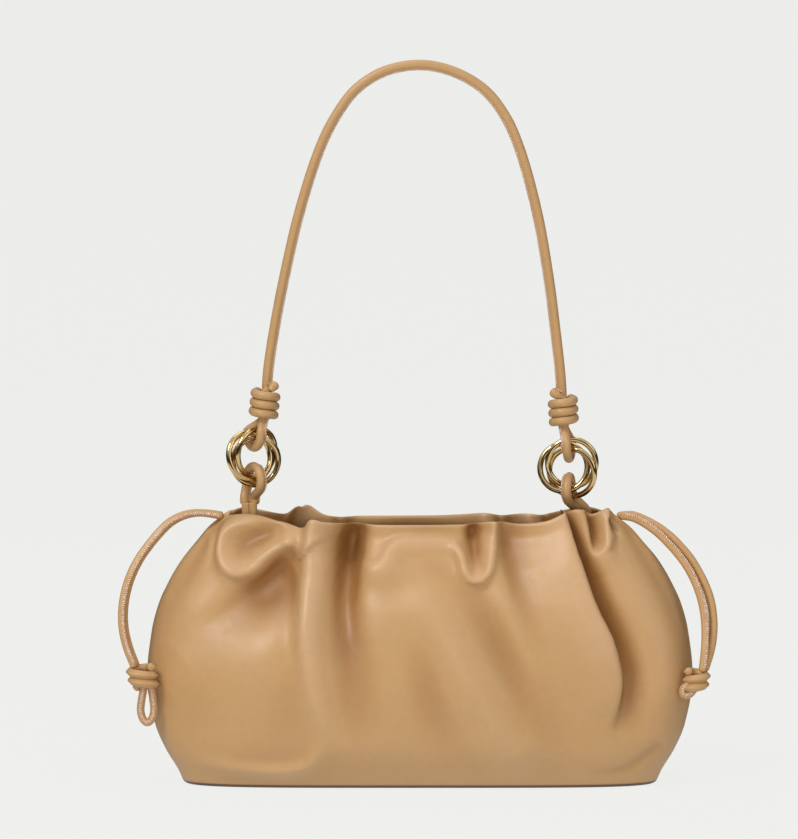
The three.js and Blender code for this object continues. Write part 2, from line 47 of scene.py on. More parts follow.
# camera: a long lens a little above the table, straight at the front
camera = {
    "aim": (-0.01155, 0.0, 0.1985),  # metres, the middle of the picture
    "distance": 2.2,
    "elevation": 3.6,  # degrees above the table
    "lens": 171.6,  # mm on a 36 mm sensor, along the taller side
}


def linked(name, data):
    thing = bpy.data.objects.new(name, data)
    bpy.context.scene.collection.objects.link(thing)
    return thing


def makeCamera(spec):
    data = bpy.data.cameras.new("camera")
    data.lens = spec["lens"]
    data.sensor_width = 36
    data.clip_start = 0.01
    data.clip_end = 50
    eye = linked("camera", data)
    rise = math.radians(spec["elevation"])
    back = Vector((0, -math.cos(rise), math.sin(rise)))
    eye.location = Vector(spec["aim"]) + back * spec["distance"]
    eye.rotation_euler = (math.pi / 2 - rise, 0, 0)
    bpy.context.scene.camera = eye


makeCamera(camera)
bpy.context.scene.view_settings.view_transform = "Standard"
print("camera placed")


# materials

def toLinear(hexColour):
    # sRGB hex to linear light: c/12.92 low down, ((c + .055)/1.055)^2.4 above
    parts = np.array([int(hexColour[i : i + 2], 16) for i in (1, 3, 5)]) / 255
    linear = np.where(parts <= 0.04045, parts / 12.92, ((parts + 0.055) / 1.055) ** 2.4)
    return (*linear.tolist(), 1.0)


def addNode(tree, kind, settings, links=()):
    # settings are the node's own options, or its sockets by name or number; stops are a ramp's colours
    node = tree.nodes.new(kind)
    for key, value in settings.items():
        if key == "stops":
            ramp = node.color_ramp
            while len(ramp.elements) < len(value):
                ramp.elements.new(0.5)
            for element, (place, colour) in zip(ramp.elements, value):
                element.position = place
                element.color = toLinear(colour) if isinstance(colour, str) else (colour,) * 3 + (1,)
        elif isinstance(key, str) and hasattr(node, key):
            setattr(node, key, value)
        else:
            node.inputs[key].default_value = value
    for source, target in links:
        tree.links.new(source, node.inputs[target])
    return node


def emptyTree(owner):
    owner.use_nodes = True
    owner.node_tree.nodes.clear()
    return owner.node_tree


def newMaterial(name, settings):
    material = bpy.data.materials.new(name)
    tree = emptyTree(material)
    shader = addNode(tree, "ShaderNodeBsdfPrincipled", settings)
    addNode(tree, "ShaderNodeOutputMaterial", {}, [(shader.outputs[0], "Surface")])
    place = addNode(tree, "ShaderNodeTexCoord", {}).outputs["Object"]
    return material, tree, shader, place


leatherLook = {
    "seam": "#4c3723",  # the leather's colour along the base's edge (a painted contact shadow), in a valley (painted shade), level, and on a ridge (lighter, as worn)
    "paintedValleyShade": "#9a6c3c",
    "base": "#bb9261",
    "ridge": "#c59d72",
    "tone": 0.045,  # how much lighter or darker the dye lies in patches
    "patch": 0.035,  # metres across a patch of dye
    "mottle": 0.004,
    "grain": 0.0011,  # real pores are about 0.4 mm, drawn coarser so that they show
    "crease": 0.0065,  # fine wrinkles of a soft skin
    "roughness": (0.38, 0.50),
    "poreBump": (0.1, 0.00012),
    "creaseBump": (0.22, 0.0006),
}
suedeLook = {"dark": "#7d5a37", "light": "#94704a", "nap": 0.0015, "roughness": 0.92, "napBump": (0.4, 0.0003)}
goldLook = {"base": "#e6c88f", "wipe": 0.004, "roughness": (0.05, 0.13)}
threadLook = {"dark": "#c9a488", "light": "#f0dccb", "twist": 0.0012, "roughness": 0.6}


def noiseOf(tree, place, size, detail, settings=None):
    # cloudy noise, about size metres across
    settings = {"Scale": 1 / size, "Detail": detail, **(settings or {})}
    return addNode(tree, "ShaderNodeTexNoise", settings, [(place, "Vector")]).outputs["Fac"]


def rangeOf(tree, source, fromLow, fromHigh, toLow=0.0, toHigh=1.0):
    settings = {"From Min": fromLow, "From Max": fromHigh, "To Min": toLow, "To Max": toHigh}
    return addNode(tree, "ShaderNodeMapRange", settings, [(source, "Value")]).outputs["Result"]


def bumpOf(tree, height, bump, links=()):
    # bump is its strength, and its depth in metres
    settings = {"Strength": bump[0], "Distance": bump[1]}
    return addNode(tree, "ShaderNodeBump", settings, [(height, "Height"), *links]).outputs["Normal"]


def nappaLeather(name, spec):
    # Aniline nappa, drum dyed and lightly finished: a soft satin sheen over a very fine grain
    material, tree, shader, place = newMaterial(name, {"IOR": 1.5, "Specular IOR Level": 0.6})
    mottle = noiseOf(tree, place, spec["mottle"], 4.0)
    # the relief ramp paints shade into the folds' valleys and a contact shadow along the base's edge, and
    # lightens the ridges as wear
    relief = addNode(tree, "ShaderNodeAttribute", {"attribute_name": "relief"})
    dyeWearAndPaintedShade = addNode(tree, "ShaderNodeValToRGB",
                  {"stops": [(0.0, spec["seam"]), (0.1, spec["paintedValleyShade"]), (0.5, spec["base"]),
                             (1.0, spec["ridge"])]},
                  [(rangeOf(tree, relief.outputs["Fac"], -1.0, 1.0), "Fac")])
    spread = addNode(tree, "ShaderNodeMath", {"operation": "ADD"},
                     [(noiseOf(tree, place, spec["patch"], 3.0), 0), (mottle, 1)])
    value = rangeOf(tree, spread.outputs["Value"], 0.6, 1.4, 1 - spec["tone"], 1 + spec["tone"])
    toned = addNode(tree, "ShaderNodeHueSaturation", {}, [(dyeWearAndPaintedShade.outputs["Color"], "Color"), (value, "Value")])
    tree.links.new(toned.outputs["Color"], shader.inputs["Base Color"])
    tree.links.new(rangeOf(tree, mottle, 0.3, 0.7, *spec["roughness"]), shader.inputs["Roughness"])
    pores = addNode(tree, "ShaderNodeTexVoronoi", {"Scale": 1 / spec["grain"]}, [(place, "Vector")])
    fine = bumpOf(tree, pores.outputs["Distance"], spec["poreBump"])
    wrinkles = noiseOf(tree, place, spec["crease"], 5.0, {"Roughness": 0.6, "Distortion": 0.4})
    soft = bumpOf(tree, wrinkles, spec["creaseBump"], [(fine, "Normal")])
    tree.links.new(soft, shader.inputs["Normal"])
    return material


def suedeLining(name, spec):
    # Split suede inside: matt, with a short nap that scatters the light
    material, tree, shader, place = newMaterial(name, {"IOR": 1.45, "Roughness": spec["roughness"]})
    nap = noiseOf(tree, place, spec["nap"], 4.0)
    colour = addNode(tree, "ShaderNodeValToRGB", {"stops": [(0.3, spec["dark"]), (0.7, spec["light"])]},
                     [(nap, "Fac")])
    tree.links.new(colour.outputs["Color"], shader.inputs["Base Color"])
    tree.links.new(bumpOf(tree, nap, spec["napBump"]), shader.inputs["Normal"])
    return material


def goldPlate(name, spec):
    # Pale gold plating on cast zinc, polished to a mirror, with faint wipe marks in the gloss
    material, tree, shader, place = newMaterial(name, {"Metallic": 1.0, "Base Color": toLinear(spec["base"])})
    wipes = noiseOf(tree, place, spec["wipe"], 3.0)
    tree.links.new(rangeOf(tree, wipes, 0.3, 0.7, *spec["roughness"]), shader.inputs["Roughness"])
    return material


def polyesterThread(name, spec):
    # Bonded polyester sewing thread: off-white with a pink cast, slightly glossy twisted filaments
    material, tree, shader, place = newMaterial(name, {"IOR": 1.5, "Roughness": spec["roughness"]})
    twist = noiseOf(tree, place, spec["twist"], 2.0)
    colour = addNode(tree, "ShaderNodeValToRGB", {"stops": [(0.35, spec["dark"]), (0.7, spec["light"])]},
                     [(twist, "Fac")])
    tree.links.new(colour.outputs["Color"], shader.inputs["Base Color"])
    return material


camelNappa = nappaLeather("camelNappaLeather", leatherLook)
suede = suedeLining("splitSuedeLining", suedeLook)
paleGold = goldPlate("polishedPaleGoldPlate", goldLook)
seamThread = polyesterThread("bondedPolyesterThread", threadLook)
print("materials made")


# shapes worked out on grids

def smooth(low, high, value):
    # t*t*(3 - 2t) between low and high
    t = np.clip((value - low) / (high - low), 0, 1)
    return t * t * (3 - 2 * t)


def unit(vectors):
    return vectors / np.linalg.norm(vectors, axis=-1, keepdims=True)


def turnAbout(axis, degrees):
    # 3 by 3 turn about x, y or z
    c, s = math.cos(math.radians(degrees)), math.sin(math.radians(degrees))
    turns = {
        "x": [[1, 0, 0], [0, c, -s], [0, s, c]],
        "y": [[c, 0, s], [0, 1, 0], [-s, 0, c]],
        "z": [[c, -s, 0], [s, c, 0], [0, 0, 1]],
    }
    return np.array(turns[axis])


def curveThrough(points, perStretch=12):
    # Centripetal Catmull-Rom: a cubic on each stretch, its slopes from the neighbours and the roots of the
    # distances, then points evenly spaced along the whole
    points = np.asarray(points, float)
    p = np.vstack([2 * points[:1] - points[1:2], points, 2 * points[-1:] - points[-2:-1]])
    root = np.sqrt(np.linalg.norm(np.diff(p, axis=0), axis=1))[:, None]
    a, b, c = root[:-2], root[1:-1], root[2:]
    p0, p1, p2, p3 = p[:-3], p[1:-2], p[2:-1], p[3:]
    leave = ((p1 - p0) / a - (p2 - p0) / (a + b) + (p2 - p1) / b) * b
    arrive = ((p2 - p1) / b - (p3 - p1) / (b + c) + (p3 - p2) / c) * b
    t = np.linspace(0, 1, perStretch, endpoint=False)[None, :, None]
    line = (
        (2 * t**3 - 3 * t**2 + 1) * p1[:, None]
        + (t**3 - 2 * t**2 + t) * leave[:, None]
        + (3 * t**2 - 2 * t**3) * p2[:, None]
        + (t**3 - t**2) * arrive[:, None]
    ).reshape(-1, 3)
    return np.vstack([line, points[-1:]])


def evenly(line, spacing):
    # the same curve with points a spacing apart
    run = np.concatenate([[0], np.cumsum(np.linalg.norm(np.diff(line, axis=0), axis=1))])
    places = np.linspace(0, run[-1], max(3, int(round(run[-1] / spacing)) + 1))
    return np.stack([np.interp(places, run, line[:, i]) for i in range(3)], axis=1)


def framesAlong(line, towards):
    # at each point: the way along, the way to the seam (towards less its share of along) and the way across
    along = unit(np.gradient(line, axis=0))
    towards = np.broadcast_to(np.asarray(towards, float), line.shape)
    seam = unit(towards - (towards * along).sum(1, keepdims=True) * along)
    return along, seam, np.cross(along, seam)


def gridFaces(rows, columns):
    # quads between neighbouring rows, closed round the columns
    first = np.arange(rows - 1)[:, None] * columns + np.arange(columns)[None, :]
    after = np.arange(rows - 1)[:, None] * columns + (np.arange(columns)[None, :] + 1) % columns
    return np.stack([first, after, after + columns, first + columns], axis=-1).reshape(-1, 4)


def newPiece(name, grid, materials, materialIndex=None):
    # one object at the origin, its faces turned outwards by the sign of the volume they hold
    points, quads, triangles = grid
    corners = points[np.vstack([quads[:, :3], quads[:, [0, 2, 3]], triangles])]
    if np.einsum("ij,ij->", corners[:, 0], np.cross(corners[:, 1], corners[:, 2])) < 0:
        quads, triangles = quads[:, ::-1], triangles[:, ::-1]
    mesh = bpy.data.meshes.new(name)
    mesh.from_pydata(points.tolist(), [], quads.tolist() + triangles.tolist())
    mesh.polygons.foreach_set("use_smooth", [True] * len(mesh.polygons))
    for material in materials:
        mesh.materials.append(material)
    if materialIndex is not None:
        mesh.polygons.foreach_set("material_index", materialIndex)
    mesh.update()
    piece = linked(name, mesh)
    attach(piece, "root")
    return piece


def lathed(grid):
    # rows of a grid closed round the columns, with a fan over the first row and the last
    rows, columns = grid.shape[:2]
    points = np.vstack([grid.reshape(-1, 3), grid[0].mean(0), grid[-1].mean(0)])
    around = np.arange(columns)
    following = (around + 1) % columns
    first = np.full(columns, rows * columns)
    last = (rows - 1) * columns
    fans = np.vstack([
        np.stack([first, following, around], axis=1),
        np.stack([first + 1, last + around, last + following], axis=1),
    ])
    return points, gridFaces(rows, columns), fans


def joinedGrids(parts):
    # several closed grids as one list of points, quads and triangles
    points, quads, fans, shift = [], [], [], 0
    for p, q, f in parts:
        points.append(p)
        quads.append(q + shift)
        fans.append(f + shift)
        shift += len(p)
    return np.vstack(points), np.vstack(quads), np.vstack(fans)


# a rolled cord's section, in radians from its seam, and its ends
cordSection = {
    "bead": 0.34,  # half width of the seam's ridge
    "groove": 0.62,  # where the shallow grooves beside it lie
    "grooveWidth": 0.22,
    "grooveDepth": 0.35,  # share of the ridge's height
    "endLength": 0.8,  # share of the radius
    "endRings": 4,
}


def cordGrid(line, towards, radius, ridge=0.0, sides=20):
    # a round section carried along the line: radius + ridge*exp(-(angle/bead)^2) at the seam, with a shallow
    # groove on both sides of it, and half-round ends
    along, seam, across = framesAlong(line, towards)
    angle = np.linspace(-np.pi, np.pi, sides, endpoint=False)
    bead = np.exp(-((angle / cordSection["bead"]) ** 2))
    grooves = np.exp(-(((np.abs(angle) - cordSection["groove"]) / cordSection["grooveWidth"]) ** 2))
    profile = radius + ridge * (bead - cordSection["grooveDepth"] * grooves)
    extra, inner, last = cordSection["endRings"], np.arange(1, len(line) - 1), len(line) - 1
    swing = np.linspace(0, np.pi / 2, extra + 1)[1:]
    size = np.concatenate([np.sin(swing), np.ones(len(inner)), np.sin(swing[::-1])])
    pick = np.concatenate([np.zeros(extra, int), inner, np.full(extra, last)])
    bulge = np.cos(swing) * radius * cordSection["endLength"]
    push = np.concatenate([-bulge, np.zeros(len(inner)), bulge[::-1]])
    ring = profile[None, :, None] * size[:, None, None]
    return lathed(
        (line[pick] + along[pick] * push[:, None])[:, None]
        + seam[pick][:, None] * np.cos(angle)[None, :, None] * ring
        + across[pick][:, None] * np.sin(angle)[None, :, None] * ring
    )


def stitchGrid(line, towards, spec, radius):
    # threads over the seam: each goes from one side (-1) to the other (1) in an arch over the ridge,
    # slanted along the cord, and is a thin round section carried along that arch
    run = np.concatenate([[0], np.cumsum(np.linalg.norm(np.diff(line, axis=0), axis=1))])
    places = np.linspace(0, run[-1], max(3, int(round(run[-1] / spec["pitch"])) + 1))[1:-1]
    stations, along, seam, across = (
        np.stack([np.interp(places, run, part[:, i]) for i in range(3)], axis=1)
        for part in (line, *framesAlong(line, towards))
    )
    u = np.linspace(-1, 1, 5)[None, :, None]
    sunk = 0.00012  # the thread is pulled a little into the leather
    high = radius + spec["high"] * (1 - np.abs(u) ** 2.2) - sunk
    arch = (stations[:, None] + along[:, None] * spec["slant"] * u + seam[:, None] * high
            + across[:, None] * spec["wide"] * u)
    way = unit(np.gradient(arch, axis=1))
    side = unit(np.cross(way, seam[:, None] + 0 * way))
    up = np.cross(side, way)
    angle = np.linspace(0, 2 * np.pi, 6, endpoint=False)[None, None, :, None]
    taper = np.array([0.55, 1, 1.1, 1, 0.55])  # thinner where it goes into its holes
    thick = spec["thread"] * taper[None, :, None, None]
    grid = arch[:, :, None] + (side[:, :, None] * np.cos(angle) + up[:, :, None] * np.sin(angle)) * thick
    count, rows, columns = grid.shape[:3]
    start = (np.arange(count) * rows * columns)[:, None]
    far = start + (rows - 1) * columns
    quads = (gridFaces(rows, columns)[None] + start[:, :, None]).reshape(-1, 4)
    closed = [start + [[3, 2, 1, 0]], start + [[5, 4, 3, 0]], far + [[0, 1, 2, 3]], far + [[0, 3, 4, 5]]]
    return grid.reshape(-1, 3), np.vstack([quads, *closed]), np.zeros((0, 3), int)


def cordPiece(name, line, towards, radius, ridge, sides):
    return newPiece(name, cordGrid(line, towards, radius, ridge, sides), [camelNappa])


def stitchPiece(name, line, towards, spec, radius):
    return newPiece(name, stitchGrid(line, towards, spec, radius), [seamThread])


# the drawstrings: two strands from each end of the body, knotted together
drawstring = {
    "diameter": 0.0042,
    "knotDiameter": 0.0048,
    "ridge": 0.00055,
    "routes": {
        "left_drawstring_front": [
            (-0.11, -0.0023, 0.1456), (-0.117, -0.003, 0.1469), (-0.124, -0.004, 0.1473),
            (-0.131, -0.006, 0.146), (-0.138, -0.008, 0.1424), (-0.1445, -0.0105, 0.136),
            (-0.1498, -0.013, 0.1295), (-0.154, -0.0155, 0.1235), (-0.1582, -0.018, 0.1155),
            (-0.1613, -0.0205, 0.106), (-0.1628, -0.0236, 0.0955), (-0.1622, -0.027, 0.0853),
            (-0.1597, -0.0306, 0.0757), (-0.1559, -0.0335, 0.0668),
        ],
        "left_drawstring_back": [
            (-0.11, 0.0023, 0.1456), (-0.117, 0.0016, 0.1466), (-0.1235, 0.0006, 0.1468),
            (-0.1303, -0.0014, 0.1453), (-0.1372, -0.0034, 0.1416), (-0.1436, -0.006, 0.1353),
            (-0.1489, -0.0084, 0.1289), (-0.1531, -0.0109, 0.1229), (-0.1572, -0.0134, 0.1149),
            (-0.1603, -0.0159, 0.1055), (-0.1618, -0.019, 0.095), (-0.1612, -0.0224, 0.085),
            (-0.1587, -0.026, 0.0757), (-0.1551, -0.0289, 0.0668),
        ],
        "right_drawstring_front": [
            (0.1116, -0.0023, 0.1454), (0.117, -0.0032, 0.1445), (0.1238, -0.005, 0.1412),
            (0.1312, -0.008, 0.1358), (0.137, -0.0104, 0.13), (0.1416, -0.0126, 0.1248),
            (0.1462, -0.0152, 0.1184), (0.1497, -0.0178, 0.1118), (0.1523, -0.0202, 0.1052),
            (0.1542, -0.0226, 0.098), (0.1553, -0.0256, 0.089), (0.1553, -0.0286, 0.0806),
            (0.1546, -0.0314, 0.0726), (0.1535, -0.0334, 0.0645),
        ],
        "right_drawstring_back": [
            (0.1102, 0.0023, 0.1454), (0.117, 0.0014, 0.1458), (0.1248, -0.0008, 0.143),
            (0.1318, -0.0034, 0.1392), (0.139, -0.006, 0.1336), (0.144, -0.008, 0.1284),
            (0.1485, -0.01, 0.123), (0.153, -0.0126, 0.1156), (0.1564, -0.0154, 0.1086),
            (0.1592, -0.0184, 0.1), (0.1604, -0.0216, 0.09), (0.16, -0.0246, 0.0812),
            (0.1582, -0.0274, 0.0728), (0.1555, -0.0292, 0.0645),
        ],
    },
    "seamTowards": {
        "left_drawstring_front": (0.35, -1, -0.1), "left_drawstring_back": (0.2, 1, 0.2),
        "right_drawstring_front": (0.75, -1, 0.75), "right_drawstring_back": (-1, 0.4, -0.6),
    },
    "bightSeam": (0, -1, 0.2),
    "stitches": {"pitch": 0.00125, "high": 0.00062, "wide": 0.00105, "slant": 0.0006, "thread": 0.00033},
    "spacing": {"strand": 0.0011, "winding": 0.0006, "bight": 0.0008},  # between the rings of points
    "sides": {"strand": 20, "winding": 26, "bight": 22},
    "turnPoints": 12,
    "seat": 0.00085,  # how far a knot's first turn reaches up beside the strands' ends
    "pitch": 0.0046,
    # each knot: turns, radius to the middle of the cord, start in towards the bag, lean in for each metre down
    "windings": {"left": (2.4, 0.0056, 0.003, 0.2), "right": (1.9, 0.0047, 0.0034, 0.15)},
    # the cord's loop below each knot, from the middle of the strands' ends: in towards the bag, y and z
    "bights": {
        "left": [
            (0.0049, 0, -0.008), (0.0047, -0.001, -0.014), (0.0037, -0.001, -0.020), (0.0033, -0.001, -0.0255),
            (0.0047, -0.001, -0.030), (0.0069, -0.001, -0.0317), (0.0091, -0.001, -0.030),
            (0.0105, -0.001, -0.0255), (0.0101, -0.001, -0.0195), (0.0091, -0.001, -0.013),
            (0.0085, 0, -0.008),
        ],
        "right": [
            (0.0065, 0, -0.0059), (0.0089, -0.0009, -0.0083), (0.0114, -0.0017, -0.0108),
            (0.0114, -0.0023, -0.014), (0.0082, -0.0017, -0.014), (0.0057, -0.0009, -0.0115),
            (0.0033, 0, -0.0091),
        ],
    },
}


def knotLines(side, spec):
    # a helix below the strands' ends, its axis leaning in towards the bag, and a loop that hangs from it.
    # The helix is cos and sin of the angle times the radius, going down by the pitch for each turn.
    outward = -1 if side == "left" else 1
    last = sum(np.array(spec["routes"][f"{side}_drawstring_{which}"][-1]) for which in ("front", "back")) / 2
    turns, radius, start, lean = spec["windings"][side]
    angle = np.linspace(0, turns, 1 + round(spec["turnPoints"] * turns)) * 2 * np.pi
    down = spec["knotDiameter"] / 2 - spec["seat"] + spec["pitch"] * angle / (2 * np.pi)
    axis = last + np.stack([-outward * (start + lean * down), 0 * down, -down], axis=1)
    spokes = np.stack([-outward * np.cos(angle), np.sin(angle), 0 * angle], axis=1)
    winding = evenly(curveThrough(axis + spokes * radius), spec["spacing"]["winding"])
    axisLine = np.stack([np.interp(winding[:, 2], axis[::-1, 2], axis[::-1, i]) for i in range(3)], axis=1)
    points = last + np.array(spec["bights"][side]) * [-outward, 1, 1]
    bight = evenly(curveThrough(points), spec["spacing"]["bight"])
    return winding, axisLine, bight


def makeDrawstrings(spec):
    radius, ridge, sides = spec["diameter"] / 2, spec["ridge"], spec["sides"]
    for side in ("left", "right"):
        winding, axisLine, bight = knotLines(side, spec)
        knot = newPiece(f"{side}_knot", joinedGrids([
            cordGrid(winding, winding - axisLine, spec["knotDiameter"] / 2, ridge, sides["winding"]),
            cordGrid(bight, spec["bightSeam"], radius, ridge, sides["bight"]),
        ]), [camelNappa])
        knotThread = stitchPiece(f"{side}_knot_whipstitch", bight, spec["bightSeam"], spec["stitches"], radius)
        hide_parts(f"{side}_drawstring_knot")
        for which in ("front", "back"):
            name = f"{side}_drawstring_{which}"
            line = evenly(curveThrough(spec["routes"][name]), spec["spacing"]["strand"])
            towards = spec["seamTowards"][name]
            strand = cordPiece(f"{side}_{which}_strand", line, towards, radius, ridge, sides["strand"])
            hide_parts(name)
            thread = stitchPiece(f"{side}_{which}_whipstitch", line, towards, spec["stitches"], radius)


makeDrawstrings(drawstring)
print("drawstrings made")


